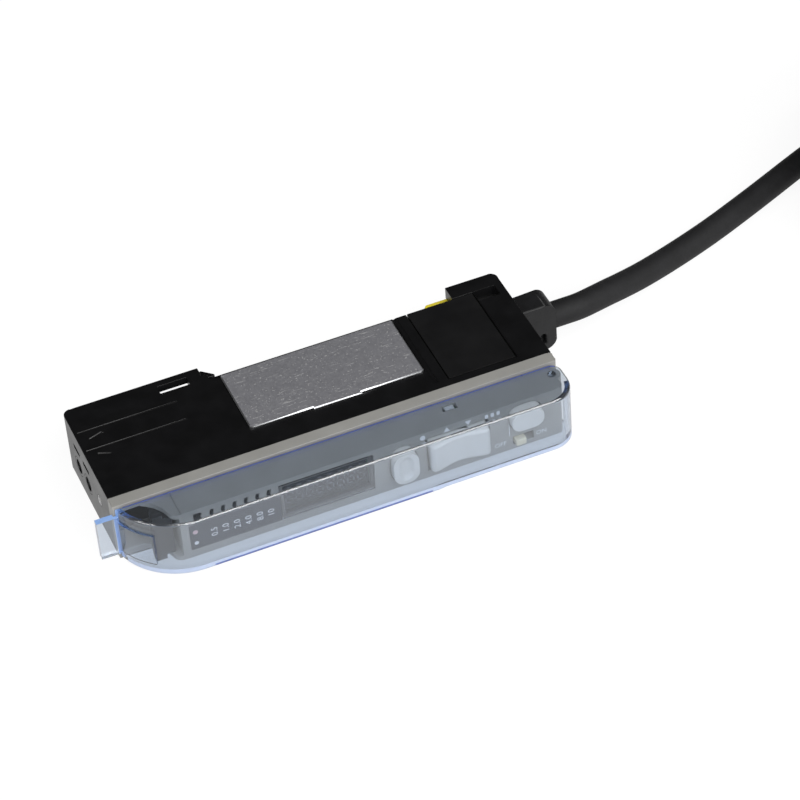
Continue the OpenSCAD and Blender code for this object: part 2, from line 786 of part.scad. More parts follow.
// Clear cover over the panel with its lift tab and hinge pins
module protective_cover() {
  edge = [for (a = [0:30:90]) cover_edge_r * (1 - sin(a))];
  rise = [for (a = [0:30:90]) cover_edge_r * (1 - cos(a))];
  insets = concat(edge, [edge[3], edge[2], edge[1], edge[0]]);
  heights = concat(
    [for (h = rise) cover_z0 + h],
    [for (i = [3:-1:0]) cover_z1 - rise[i]]
  );
  color("#9fc0ea", 0.4) place() {
    difference() {
      loft([for (d = insets) cover_outline(d)], heights);
      upright(cover_z0 + cover_side, cover_z1 - cover_side) polygon(concat(
        arc(end_mid, cover_end_r - cover_front,
          180 + asin((end_mid[1] - cover_rear - past) / cover_end_r), 270, 20),
        arc([cover_end_x - cover_corner_r, cover_corner_r - cover_y], cover_corner_r - cover_front,
          270, corner_end, 8),
        [[cover_end_x - cover_front, cover_open_y], [cover_end_x + past, cover_open_y],
          [cover_end_x + past, 0]]
      ));
      cover_step();
    }
    upright(mid_z - pad_w / 2, mid_z + pad_w / 2) polygon(concat(
      arc(end_mid, cover_end_r + pad_h, pad_from, pad_to, 14),
      arc(end_mid, cover_end_r - cover_front / 2, pad_to, pad_from, 14)
    ));
    for (m = [0, 1]) translate([0, 0, m * case_t]) mirror([0, 0, m])
      along_z(hinge_x, hinge_y, cover_z0 + cover_side / 2, panel_inset + 0.7, hinge_r);
    block([-tab_reach, cover_rear - tab_t / 2, mid_z - tab_w / 2],
      [-fit, cover_rear + tab_t / 2, mid_z + tab_w / 2]);
    block([-tab_reach / 2, cover_rear - tab_t / 2, mid_z - tab_w / 2],
      [cover_front, cover_rear, mid_z + tab_w / 2]);
  }
}

// Lever that locks the fibres, seen from the broad side: its cam is an involute round the pin
module lock_lever() {
  turn_k = cam_rise * 180 / PI;
  cam = [for (i = [0:8]) let (a = 90 + lever_turn * i / 8, p = cam_h - cam_rise * lever_turn * i / 8)
    [p * cos(a) + turn_k * sin(a), p * sin(a) - turn_k * cos(a)]];
  color(case_black) place() difference() {
    translate([lever_x, lever_y, 0]) {
      upright(lever_z0, lever_z1) {
        circle(hub_r, $fn = 40);
        polygon(concat([[0.6, -0.6]], cam, [[-0.8, -0.6]]));
        polygon([[1, -0.6], [-1, -0.6], [-1.9, -2.6], [-2.2, -lever_l], [0.75, -lever_l], [0.9, -2]]);
      }
      upright(tip_z0, tip_z1)
        polygon([[-2.1, -lever_l], [-0.5, -lever_l], [-0.6, tip_l - lever_l], [-1.9, tip_l - lever_l]]);
    }
    along_z(lever_x, lever_y, 0, case_t, pin_r + running);
  }
}

// Bar with two fingers that press on the fibres
module fibre_clamp() {
  color("#d8d4c4") place() {
    block([clamp_x - clamp_w / 2, clamp_foot_y, clamp_z0],
      [clamp_x + clamp_w / 2, port_y - fibre_r - running, clamp_z0 + clamp_t]);
    for (y = ports)
      block([clamp_x - finger_w / 2, y - fibre_r - finger_t, finger_z0],
        [clamp_x + finger_w / 2, y - fibre_r - running, clamp_z0 + 0.2]);
  }
}

// Button: a cap through the panel and a flange behind it
module button(x, z, size, flange) {
  face_out(flange_y + 0.1, flange_y + 0.1 + panel_y + key_h) translate([x, z]) key_outline(size, 0);
  face_out(flange_y + flange_t, flange_t) translate([x, z]) square(flange, center = true);
}

// Set button
module set_button() {
  color(key_white) place()
    button(set_mid_x, mid_z, set_size, [set_size[0] + 1, hollow_z1 - hollow_z0 - 2 * slide]);
}

// Mode button
module mode_button() {
  color(key_white) place()
    button(mode_mid_x, mode_mid_z, mode_size, [mode_size[0] + 1, mode_size[1]]);
}

// Rocker with two raised ends, tilting on its pin
module rocker_key() {
  top = [for (i = [-8:8]) let (u = i / 8) [u * rocker_l / 2,
    -panel_y - rocker_dip - (rocker_rise - rocker_dip) * (1 - cos(180 * u)) / 2 * (1 - 0.25 * pow(u, 8))]];
  color(key_white) place() {
    upright(mid_z - rocker_w / 2, mid_z + rocker_w / 2) translate([rocker_mid_x, 0])
      polygon(concat([[rocker_l / 2, -5.1], [-rocker_l / 2, -5.1]], top));
    along_z(rocker_mid_x, rocker_pin_y, panel_inset + 0.6, case_t - panel_inset - 0.6, rocker_pin_r);
  }
}

// Knob of the selector switch
module slide_knob() {
  color("#d8cfb4") place() {
    block([knob_x0, -panel_y - key_h * 0.8, knob_z - knob_size[1] / 2],
      [knob_x0 + knob_size[0], flange_y + 0.1, knob_z + knob_size[1] / 2]);
    block([knob_x0 - 0.4, flange_y, hollow_z0 + slide],
      [knob_x0 + knob_size[0] + 0.4, flange_y + flange_t, knob_z + 0.9]);
  }
}

// Sliding latch that grips the edge of the rail
module rail_latch() {
  tip_x = rail_x + rail_w - lip_grip + fit;
  stop_x = rail_x + rail_w + fit;
  color("#e6cf1f") place() upright(mid_z - latch_w / 2, mid_z + latch_w / 2) polygon([
    [stop_x, latch_y0], [latch_end_x, latch_y0], [latch_end_x, latch_y1],
    [latch_heel_x, latch_y1], [latch_heel_x, claw_y],
    [stop_x - 0.1, claw_y], [tip_x, lip_y + lip_t], [tip_x, lip_y], [stop_x, lip_y]
  ]);
}

// Points of a way counted from the cable's mouth, at their own height over the floor
function from_mouth(way) = [for (p = way) [mouth[0] + p[0], mouth[1] + p[1], p[2]]];

// Cable from its strain relief to the coil
module cable() {
  color(cable_grey) place() tube(from_mouth(cable_way), cable_r, 10);
}

// Outline of one turn of the coil: two straight runs and two round ends
module coil_turn(r) {
  translate([0, -r]) square([coil_run, 2 * r]);
  for (x = [0, coil_run]) translate([x, 0]) circle(r, $fn = 64);
}

// Flat band between the coil's inner and outer turns
module coil_band(height, groove) {
  linear_extrude(height) difference() {
    coil_turn(coil_out_r + cable_r - groove);
    coil_turn(coil_in_r - cable_r + groove);
  }
}

// Rest of the cable, folded in a long flat coil of four layers
module cable_coil() {
  color(cable_grey) place() translate([mouth[0] + coil_start[0], mouth[1] + coil_start[1], coil_lift]) {
    for (i = [0:coil_layers - 1]) translate([0, 0, i * (cable_d + layer_gap)]) coil_band(cable_d, 0);
    coil_band(coil_h, coil_groove);
  }
}

// Band that holds the coil together, round one of its straight runs
module coil_tie() {
  width = coil_out_r - coil_in_r + cable_d + 2 * slide;
  color("#1c1c1e") place()
    translate([mouth[0] + coil_start[0] + (coil_run - tie_w) / 2,
      mouth[1] + coil_start[1] - (coil_in_r + coil_out_r) / 2, coil_lift + coil_h / 2])
      rotate([90, 0, 90]) linear_extrude(tie_w) difference() {
        round_rect([width + 2 * coil_lift, coil_h + 2 * coil_lift], 1);
        round_rect([width, coil_h + running], 0.4);
      }
}

// Free end of the cable, lying on the coil
module cable_tail() {
  color(cable_grey) place() tube(from_mouth(tail_way), cable_r, 10);
}

// One stripped core: its way spreads to its own side of the cable's end
module core(i) {
  start = from_mouth(tail_way)[len(tail_way) - 1];
  side = i < 2 ? -1 : 1;
  level = i % 2 == 0 ? 0.6 : -0.6;
  way = [for (p = core_way) start + [p[0], side * (0.7 + p[1] * (1.5 + level)), level + p[2]]];
  tube(way, core_r, 8);
}

module core_brown() {
  color("#6b3f22") place() core(0);
}

module core_blue() {
  color("#2a4f9e") place() core(1);
}

module core_black() {
  color("#1a1a1c") place() core(2);
}

module core_white() {
  color("#d9d9d6") place() core(3);
}

case_shell();
panel_bezel();
side_plate();
connector_cover();
end_lens();
cable_gland();
display_window();
indicator_label();
indicator_lenses();
panel_board();
display_module();
indicator_leds();
key_switches();
selector_body();
board_carrier();
main_board();
controller_chip();
board_link();
shield_can();
fibre_holder();
emitter_led();
receiver_diode();
lever_pin();
latch_spring();
protective_cover();
lock_lever();
fibre_clamp();
set_button();
rocker_key();
mode_button();
slide_knob();
rail_latch();
cable();
cable_coil();
coil_tie();
cable_tail();
core_brown();
core_blue();
core_black();
core_white();
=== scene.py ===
"""Looks of a slim amplifier for fibre optic sensors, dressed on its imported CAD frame."""

import logging
import math
from dataclasses import dataclass, field
from enum import Enum

import bmesh
import bpy
from mathutils import Matrix, Vector


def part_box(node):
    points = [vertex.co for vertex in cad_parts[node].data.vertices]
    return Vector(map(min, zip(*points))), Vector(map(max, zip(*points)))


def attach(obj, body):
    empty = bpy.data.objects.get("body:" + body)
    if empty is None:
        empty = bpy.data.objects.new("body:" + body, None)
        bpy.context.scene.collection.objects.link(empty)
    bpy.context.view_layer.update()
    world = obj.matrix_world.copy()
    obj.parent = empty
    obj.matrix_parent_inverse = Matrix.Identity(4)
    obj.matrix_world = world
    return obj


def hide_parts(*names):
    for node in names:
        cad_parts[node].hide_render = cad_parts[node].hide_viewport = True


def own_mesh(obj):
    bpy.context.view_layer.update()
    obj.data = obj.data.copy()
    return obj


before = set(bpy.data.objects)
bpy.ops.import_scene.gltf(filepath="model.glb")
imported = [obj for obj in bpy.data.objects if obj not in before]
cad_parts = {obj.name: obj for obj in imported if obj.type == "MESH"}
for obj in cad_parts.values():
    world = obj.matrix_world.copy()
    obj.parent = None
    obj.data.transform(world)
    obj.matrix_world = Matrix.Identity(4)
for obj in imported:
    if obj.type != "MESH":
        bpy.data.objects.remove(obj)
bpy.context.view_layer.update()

LOG = logging.getLogger("amplifier")
MM = 0.001
# The frame's origin in the drawing, in mm from the fibre end, the panel joint and the lower side
FRAME_ORIGIN = (35.3, 5.1, 0.0)
# Front of the panel in the drawing, in mm
PANEL_Y = -6.9
# Light of the floor and the room
WHITE = "#ffffff"
# Faces that meet at more than this keep a crisp edge or get a rounded one
SHARP_TURN = math.radians(38)
# Faces that meet at less than this are one flat face
FLAT_TURN = math.radians(1.0)
# Corners closer than this, in mm, are one corner
SAME_PLACE = 0.002
# Least width of a face beside a rounding, as narrow measures it, in radii
ROUNDING_ROOM = 1.5
# Collection of the pieces that the glint lamp reaches
GLINT_SET = "glint_set"


class Body(Enum):
    """The bodies that new pieces ride on."""

    CASE = "case"
    COVER = "cover"
    LEVER = "lever"
    SET_KEY = "set_key"
    ROCKER = "rocker"
    MODE_KEY = "mode_key"
    SELECTOR = "selector"
    LATCH = "latch"


class Turn(Enum):
    """How a printed mark is turned on the panel."""

    UPRIGHT = 0.0
    SIDEWAYS = math.pi / 2


def at(x: float, y: float, z: float) -> Vector:
    """Gives the frame's point, in metres, for a point of the drawing in mm."""
    return Vector([(value - zero) * MM for value, zero in zip((x, y, z), FRAME_ORIGIN)])


def linear(shade: str) -> tuple[float, float, float, float]:
    """Turns an sRGB hex colour into linear light.

    Args:
        shade: The colour as "#rrggbb".

    Returns:
        Red, green, blue and an alpha of 1.
    """
    parts = [int(shade[i:i + 2], 16) / 255 for i in (1, 3, 5)]
    red, green, blue = (p / 12.92 if p <= 0.04045 else ((p + 0.055) / 1.055) ** 2.4 for p in parts)
    return red, green, blue, 1.0


def per_mm(size: float) -> float:
    """Gives a texture's scale for a pattern of that size in mm, on coordinates in metres."""
    return 1.0 / (size * MM)


def plug(tree: bpy.types.NodeTree, node: bpy.types.Node, sockets: dict[str | int, object]) -> None:
    """Fills a node's inputs.

    Args:
        tree: The node tree.
        node: The node.
        sockets: For each input's name or place, a value or the output that it is linked to.
    """
    for key, value in sockets.items():
        if isinstance(value, bpy.types.NodeSocket):
            tree.links.new(value, node.inputs[key])
        else:
            node.inputs[key].default_value = value


def put(tree: bpy.types.NodeTree, kind: str, sockets: dict[str | int, object] | None = None,
        **settings: object) -> bpy.types.Node:
    """Adds a node with its settings and links.

    Args:
        tree: The node tree.
        kind: Blender's name of the kind of node.
        sockets: What its inputs get, as in plug.
        settings: The node's own settings.

    Returns:
        The new node.
    """
    node = tree.nodes.new(kind)
    for key, value in settings.items():
        setattr(node, key, value)
    plug(tree, node, sockets or {})
    return node


@dataclass(frozen=True)
class Finish:
    """A finish, named for its real material or for the painted glow that it stands for. Its nodes are drawn
    once and shared.
    """

    name: str

    def material(self) -> bpy.types.Material:
        """Gives the finish's material and draws it at its first use.

        Returns:
            The material.
        """
        made = bpy.data.materials.get(self.name)
        if made is None:
            made = bpy.data.materials.new(self.name)
            made.use_nodes = True
            self.draw(made.node_tree, made.node_tree.nodes["Principled BSDF"])
        return made

    def draw(self, tree: bpy.types.NodeTree, shader: bpy.types.Node) -> None:
        """Draws the finish's nodes.

        Args:
            tree: The material's node tree.
            shader: Its surface shader.
        """
        raise NotImplementedError


@dataclass(frozen=True)
class Moulded(Finish):
    """Injection moulded plastic: fine grain from the eroded mould, paler and duller clouds from handling."""

    shade: str
    worn: str
    rough: float
    # A real mould's grain is finer than 0.1 mm, and is drawn coarser so that it shows
    grain_mm: float = 0.16
    grain_deep: float = 0.1
    cloud_mm: float = 5.0
    cloud: float = 0.5
    ior: float = 1.53

    def draw(self, tree: bpy.types.NodeTree, shader: bpy.types.Node) -> None:
        """Draws grain, clouds and a gloss that follows them.

        Args:
            tree: The material's node tree.
            shader: Its surface shader.
        """
        spot = put(tree, "ShaderNodeTexCoord").outputs["Object"]
        cloud = put(tree, "ShaderNodeTexNoise", {
            "Vector": spot, "Scale": per_mm(self.cloud_mm), "Detail": 5.0, "Roughness": 0.62})
        share = put(tree, "ShaderNodeMapRange", {
            "Value": cloud.outputs[0], "From Min": 0.4, "From Max": 0.72, "To Max": self.cloud})
        colour = put(tree, "ShaderNodeMix", {
            0: share.outputs[0], 6: linear(self.shade), 7: linear(self.worn)}, data_type="RGBA")
        gloss = put(tree, "ShaderNodeMapRange", {
            "Value": cloud.outputs[0], "From Min": 0.3, "From Max": 0.7,
            "To Min": self.rough - 0.04, "To Max": self.rough + 0.06})
        grain = put(tree, "ShaderNodeTexNoise", {
            "Vector": spot, "Scale": per_mm(self.grain_mm), "Detail": 2.0})
        bump = put(tree, "ShaderNodeBump", {
            "Height": grain.outputs[0], "Strength": self.grain_deep, "Distance": 0.02 * MM})
        plug(tree, shader, {
            "Base Color": colour.outputs[2], "Roughness": gloss.outputs[0], "IOR": self.ior,
            "Normal": bump.outputs[0]})


@dataclass(frozen=True)
class RolledPlate(Finish):
    """Rolled and tumbled metal sheet: a dull grey mottle, bright pin pricks and stray hair scratches."""

    dark: str
    pale: str
    rough: float
    bright: str = "#f0f0f0"
    mottle_mm: float = 0.5
    prick_mm: float = 0.35
    # Hair scratches are drawn wider than they are so that they show
    hair_mm: float = 3.5
    hair_turn: float = 0.5
    hair_thin: float = 9.0

    def draw(self, tree: bpy.types.NodeTree, shader: bpy.types.Node) -> None:
        """Draws the mottle, the pricks and the scratches.

        Args:
            tree: The material's node tree.
            shader: Its surface shader.
        """
        spot = put(tree, "ShaderNodeTexCoord").outputs["Object"]
        mottle = put(tree, "ShaderNodeTexNoise", {
            "Vector": spot, "Scale": per_mm(self.mottle_mm), "Detail": 6.0, "Roughness": 0.7})
        share = put(tree, "ShaderNodeMapRange", {
            "Value": mottle.outputs[0], "From Min": 0.36, "From Max": 0.66})
        prick = put(tree, "ShaderNodeTexNoise", {
            "Vector": spot, "Scale": per_mm(self.prick_mm), "Detail": 1.0})
        bright = put(tree, "ShaderNodeMapRange", {
            "Value": prick.outputs[0], "From Min": 0.64, "From Max": 0.72})
        turned = put(tree, "ShaderNodeMapping", {
            "Vector": spot, "Rotation": (0.0, 0.0, self.hair_turn), "Scale": (1.0, self.hair_thin, 1.0)})
        hair = put(tree, "ShaderNodeTexNoise", {
            "Vector": turned.outputs[0], "Scale": per_mm(self.hair_mm), "Detail": 3.0, "Roughness": 0.6})
        scratch = put(tree, "ShaderNodeMapRange", {
            "Value": hair.outputs[0], "From Min": 0.62, "From Max": 0.7})
        light = put(tree, "ShaderNodeMath", {
            0: bright.outputs[0], 1: scratch.outputs[0]}, operation="MAXIMUM")
        base = put(tree, "ShaderNodeMix", {
            0: share.outputs[0], 6: linear(self.dark), 7: linear(self.pale)}, data_type="RGBA")
        colour = put(tree, "ShaderNodeMix", {
            0: light.outputs[0], 6: base.outputs[2], 7: linear(self.bright)}, data_type="RGBA")
        gloss = put(tree, "ShaderNodeMapRange", {
            "Value": mottle.outputs[0], "From Min": 0.3, "From Max": 0.7,
            "To Min": self.rough - 0.02, "To Max": self.rough + 0.03})
        bump = put(tree, "ShaderNodeBump", {
            "Height": light.outputs[0], "Strength": 0.5, "Distance": 0.03 * MM})
        plug(tree, shader, {
            "Base Color": colour.outputs[2], "Roughness": gloss.outputs[0], "Metallic": 1.0,
            "Normal": bump.outputs[0]})


@dataclass(frozen=True)
class DrawnMetal(Finish):
    """Drawn or pressed bright metal: fine lines along the work and a soft uneven shine."""

    shade: str
    rough: float
    # Real drawing lines are finer, and are drawn coarser so that they show
    line_mm: float = 0.12
    line_stretch: float = 0.08
    glint: str = "#d6d8da"

    def draw(self, tree: bpy.types.NodeTree, shader: bpy.types.Node) -> None:
        """Draws the fine lines and the uneven shine.

        Args:
            tree: The material's node tree.
            shader: Its surface shader.
        """
        spot = put(tree, "ShaderNodeTexCoord").outputs["Object"]
        along = put(tree, "ShaderNodeMapping", {"Vector": spot, "Scale": (self.line_stretch, 1.0, 1.0)})
        line = put(tree, "ShaderNodeTexNoise", {
            "Vector": along.outputs[0], "Scale": per_mm(self.line_mm), "Detail": 3.0})
        gloss = put(tree, "ShaderNodeMapRange", {
            "Value": line.outputs[0], "To Min": self.rough - 0.08, "To Max": self.rough + 0.12})
        colour = put(tree, "ShaderNodeMix", {
            0: line.outputs[0], 6: linear(self.shade), 7: linear(self.glint)}, data_type="RGBA")
        plug(tree, shader, {
            "Base Color": colour.outputs[2], "Roughness": gloss.outputs[0], "Metallic": 1.0})


@dataclass(frozen=True)
class TintedClear(Finish):
    """Clear moulded plastic with dye in its depth: pale across a thin wall, deep colour along an edge."""

    dye: str
    dye_per_m: float
    ior: float
    smudge: float
    haze: float = 0.0
    coat: float = 0.0
    coat_ior: float = 1.7
    clear: str = "#f7fafd"
    smudge_mm: float = 4.0

    def draw(self, tree: bpy.types.NodeTree, shader: bpy.types.Node) -> None:
        """Draws the clear body, the dye in its depth and faint handling smudges.

        Args:
            tree: The material's node tree.
            shader: Its surface shader.
        """
        spot = put(tree, "ShaderNodeTexCoord").outputs["Object"]
        haze = put(tree, "ShaderNodeTexNoise", {
            "Vector": spot, "Scale": per_mm(self.smudge_mm), "Detail": 4.0, "Roughness": 0.6})
        gloss = put(tree, "ShaderNodeMapRange", {
            "Value": haze.outputs[0], "From Min": 0.5, "From Max": 0.8, "To Max": self.smudge})
        plug(tree, shader, {
            "Base Color": linear(self.clear), "Roughness": gloss.outputs[0], "IOR": self.ior,
            "Transmission Weight": 1.0 - self.haze, "Coat Weight": self.coat, "Coat IOR": self.coat_ior})
        path = put(tree, "ShaderNodeLightPath")
        passing = put(tree, "ShaderNodeMath", {
            0: path.outputs["Is Shadow Ray"], 1: path.outputs["Is Diffuse Ray"]}, operation="MAXIMUM")
        body = put(tree, "ShaderNodeMixShader", {
            0: passing.outputs[0], 1: shader.outputs[0],
            2: put(tree, "ShaderNodeBsdfTransparent").outputs[0]})
        depth = put(tree, "ShaderNodeVolumeAbsorption", {
            "Color": linear(self.dye), "Density": self.dye_per_m})
        plug(tree, tree.nodes["Material Output"], {"Surface": body.outputs[0], "Volume": depth.outputs[0]})


@dataclass(frozen=True)
class Sheath(Finish):
    """Extruded soft vinyl: dull, with a fine grain from the die and a faint bloom of dust."""

    shade: str
    bloom: str
    rough: float
    ior: float = 1.4
    dust_mm: float = 3.0
    # The die's grain is finer, and is drawn coarser so that it shows
    grain_mm: float = 0.25

    def draw(self, tree: bpy.types.NodeTree, shader: bpy.types.Node) -> None:
        """Draws the grain and the bloom.

        Args:
            tree: The material's node tree.
            shader: Its surface shader.
        """
        spot = put(tree, "ShaderNodeTexCoord").outputs["Object"]
        dust = put(tree, "ShaderNodeTexNoise", {
            "Vector": spot, "Scale": per_mm(self.dust_mm), "Detail": 6.0, "Roughness": 0.68})
        share = put(tree, "ShaderNodeMapRange", {
            "Value": dust.outputs[0], "From Min": 0.42, "From Max": 0.75, "To Max": 0.6})
        colour = put(tree, "ShaderNodeMix", {
            0: share.outputs[0], 6: linear(self.shade), 7: linear(self.bloom)}, data_type="RGBA")
        grain = put(tree, "ShaderNodeTexNoise", {
            "Vector": spot, "Scale": per_mm(self.grain_mm), "Detail": 2.0})
        gloss = put(tree, "ShaderNodeMapRange", {
            "Value": grain.outputs[0], "To Min": self.rough - 0.06, "To Max": self.rough + 0.08})
        bump = put(tree, "ShaderNodeBump", {
            "Height": grain.outputs[0], "Strength": 0.18, "Distance": 0.03 * MM})
        plug(tree, shader, {
            "Base Color": colour.outputs[2], "Roughness": gloss.outputs[0], "IOR": self.ior,
            "Normal": bump.outputs[0]})


@dataclass(frozen=True)
class Laminate(Finish):
    """Circuit board: green lacquer over paler copper tracks, with a slight gloss."""

    shade: str
    track: str
    rough: float = 0.35
    track_mm: float = 1.6

    def draw(self, tree: bpy.types.NodeTree, shader: bpy.types.Node) -> None:
        """Draws the lacquer and the tracks under it.

        Args:
            tree: The material's node tree.
            shader: Its surface shader.
        """
        spot = put(tree, "ShaderNodeTexCoord").outputs["Object"]
        cell = put(tree, "ShaderNodeTexVoronoi", {
            "Vector": spot, "Scale": per_mm(self.track_mm)}, distance="MANHATTAN", feature="F1")
        line = put(tree, "ShaderNodeMapRange", {
            "Value": cell.outputs["Distance"], "From Min": 0.42, "From Max": 0.5})
        colour = put(tree, "ShaderNodeMix", {
            0: line.outputs[0], 6: linear(self.shade), 7: linear(self.track)}, data_type="RGBA")
        bump = put(tree, "ShaderNodeBump", {
            "Height": line.outputs[0], "Strength": 0.3, "Distance": 0.03 * MM})
        plug(tree, shader, {
            "Base Color": colour.outputs[2], "Roughness": self.rough, "Normal": bump.outputs[0]})


@dataclass(frozen=True)
class Printed(Finish):
    """Pad or screen print and printed film: an even, dull coat with thin and full places."""

    shade: str
    thin: str
    rough: float
    patch_mm: float = 0.5

    def draw(self, tree: bpy.types.NodeTree, shader: bpy.types.Node) -> None:
        """Draws the coat with its thin places.

        Args:
            tree: The material's node tree.
            shader: Its surface shader.
        """
        spot = put(tree, "ShaderNodeTexCoord").outputs["Object"]
        coat = put(tree, "ShaderNodeTexNoise", {
            "Vector": spot, "Scale": per_mm(self.patch_mm), "Detail": 4.0, "Roughness": 0.65})
        share = put(tree, "ShaderNodeMapRange", {
            "Value": coat.outputs[0], "From Min": 0.45, "From Max": 0.8})
        colour = put(tree, "ShaderNodeMix", {
            0: share.outputs[0], 6: linear(self.shade), 7: linear(self.thin)}, data_type="RGBA")
        plug(tree, shader, {"Base Color": colour.outputs[2], "Roughness": self.rough})


# ABS from a finely eroded mould: deep black with a soft grey sheen
CASE_BLACK = Moulded("black_abs_satin", "#0a0a0b", "#131315", 0.34)
# ABS from a coarser mould: a duller black that sets the door off from the case
DOOR_BLACK = Moulded("black_abs_matt", "#0d0d0e", "#141415", 0.42, grain_deep=0.16)
# PBT, as for working parts: black with a faint blue and a dry sheen
LEVER_BLACK = Moulded("black_pbt_lever", "#0c0d0f", "#151618", 0.42)
# Polycarbonate from a matt mould: an even warm grey without hard reflections
BEZEL_GREY = Moulded("grey_polycarbonate_matt", "#908f8b", "#9c9b97", 0.46, grain_deep=0.14)
# Key caps: pale warm grey, softly polished by fingers
KEY_PALE = Moulded("pale_grey_key_abs", "#cfcdc8", "#d9d8d4", 0.42, cloud_mm=3.0)
# Acetal: waxy ivory with a soft shine
KNOB_IVORY = Moulded("ivory_acetal", "#d8cfb4", "#e2dbc6", 0.4, cloud_mm=1.5)
# Acetal: waxy, full yellow
LATCH_YELLOW = Moulded("yellow_acetal", "#f7e23e", "#fbec70", 0.38, cloud_mm=2.0)
# Frame plastic that nobody handles: plain light grey, dull
CARRIER_GREY = Moulded("light_grey_abs", "#b9bcbc", "#c8caca", 0.5)
# Undyed nylon: milky with a tinge of yellow
CLAMP_NATURAL = Moulded("natural_nylon", "#d8d4c4", "#e4e1d6", 0.45)
# Black nylon: dull, with greyer clouds
TIE_BLACK = Moulded("black_nylon_tie", "#1b1b1d", "#2a2a2c", 0.5)
# Moulding epoxy: dull charcoal
CHIP_EPOXY = Moulded("black_moulding_epoxy", "#1d1d1f", "#29292b", 0.6, cloud_mm=1.5)
# Digit module: near black, so that the unlit bars stand out
MODULE_BLACK = Moulded("black_display_abs", "#1c1c1f", "#26262a", 0.55, cloud_mm=2.0)
# Silicone over the light chips: milky cream
LED_PALE = Moulded("pale_silicone_chip", "#e3d9c2", "#efe8d8", 0.35, cloud_mm=0.6)
# Dyed epoxy: deep red with a smooth gloss
EMITTER_RED = Moulded("red_epoxy_emitter", "#b9352f", "#cf524a", 0.2, cloud_mm=1.5)
# Rolled and tumbled sheet: pale grey, mottled, with bright pricks and stray hairs
PLATE_METAL = RolledPlate("rolled_nickel_silver", "#c3c3c9", "#cdcdd2", 0.58)
# The sheet's sheared rim: brighter, with fine lines along the cut
PLATE_RIM = DrawnMetal("sheared_nickel_silver", "#c2c3c6", 0.38)
# Drawn steel: bright, with fine lines along the work
BRIGHT_STEEL = DrawnMetal("bright_drawn_steel", "#b4b7bb", 0.28)
# Pressed tinned sheet: a softer, greyer shine
SWITCH_STEEL = DrawnMetal("pressed_tinned_steel", "#b6b7b9", 0.36, line_mm=0.3)
# Dyed clear plastic: pale blue through a wall, deeper along it, a sharp glint on its shoulder
COVER_CLEAR = TintedClear("blue_tint_polycarbonate", "#89aacb", 400.0, 1.55, 0.06, haze=0.02, coat=0.5)
# Its rear edge: painted glow, an opaque deep blue that stands for the light the walls gather and let out
# there
COVER_EDGE_PAINTED_GLOW = Moulded("blue_painted_edge_glow", "#4058b4", "#6079cc", 0.3, cloud_mm=3.0)
# Its thin end and the tab's top: painted glow, an opaque pale blue that stands for the light the wall
# gathers and lets out there
COVER_END_PAINTED_GLOW = Moulded("pale_blue_painted_end_glow", "#86aae2", "#a6c2ee", 0.3, cloud_mm=3.0)
# Its foot: painted glow, an opaque milky pale blue that stands for the light the wall gathers and lets out
# there
COVER_FOOT_PAINTED_GLOW = Moulded("pale_blue_painted_foot_glow", "#aebbd4", "#bcc8de", 0.3, cloud_mm=3.0)
# The lowest band of its front: painted glow, an opaque dull blue that stands for the dyed light seen along
# the wall's depth
COVER_BAND_PAINTED_GLOW = Moulded("blue_painted_band_glow", "#4d5f9e", "#6274b4", 0.3, cloud_mm=3.0)
# Smoked acrylic: dark and glossy, the digits only just show
WINDOW_SMOKED = TintedClear("smoked_acrylic", "#61616f", 800.0, 1.49, 0.08)
# Light pipes: dark while unlit, with a glassy face
LENS_SMOKED = TintedClear("smoked_light_pipe", "#59616f", 1600.0, 1.49, 0.1)
# Clear acrylic: a glassy drop
LENS_CLEAR = TintedClear("clear_acrylic_lens", "#dae5ec", 60.0, 1.49, 0.1)
# Film printed from behind: an even blue-black with a dull sheen
LABEL_FILM = Printed("dark_printed_polyester", "#2c2f37", "#373a43", 0.5)
# Pad print: off-white, thin in places
INK_WHITE = Printed("white_pad_print", "#d9dbdd", "#b9bcc0", 0.55)
# Unlit bars: milky grey epoxy
DIGIT_GREY = Printed("unlit_segment_epoxy", "#8f9097", "#7d7e86", 0.5)
# Printed dot: dull pink
DOT_PINK = Printed("pink_printed_dot", "#c4a9ad", "#b79ba0", 0.5)
# Extruded vinyl: dull charcoal with a bloom of dust
CABLE_GREY = Sheath("dark_grey_vinyl", "#19191a", "#252527", 0.68)
# The same vinyl moulded on: smoother, so a little shinier
GLAND_GREY = Sheath("dark_grey_vinyl_gland", "#171718", "#222224", 0.48)
# Thin vinyl on the four cores: plain colours with a soft shine
CORE_BROWN = Sheath("brown_vinyl", "#6b3f22", "#7c5034", 0.45)
CORE_BLUE = Sheath("blue_vinyl", "#2a4f9e", "#4a69ac", 0.45)
CORE_BLACK = Sheath("black_vinyl", "#1a1a1c", "#2b2b2d", 0.45)
CORE_WHITE = Sheath("white_vinyl", "#d9d9d6", "#e4e4e2", 0.45)
# Lacquered board: green with paler tracks
BOARD_GREEN = Laminate("green_glass_epoxy_board", "#1f5b3a", "#2f7a4f")


def only(piece: bpy.types.Object) -> None:
    """Selects one object alone and makes it the active one.

    Args:
        piece: The object.
    """
    bpy.ops.object.select_all(action="DESELECT")
    piece.select_set(True)
    bpy.context.view_layer.objects.active = piece


def settle(piece: bpy.types.Object) -> None:
    """Puts an object's place, turn and size into its mesh."""
    only(piece)
    bpy.ops.object.transform_apply(location=True, rotation=True, scale=True)


def apply_modifier(piece: bpy.types.Object, kind: str, **settings: object) -> None:
    """Adds a modifier with its settings and applies it.

    Args:
        piece: The object.
        kind: Blender's name of the kind of modifier.
        settings: The modifier's settings.
    """
    only(piece)
    modifier = piece.modifiers.new(kind.lower(), kind)
    for key, value in settings.items():
        setattr(modifier, key, value)
    bpy.ops.object.modifier_apply(modifier=modifier.name)


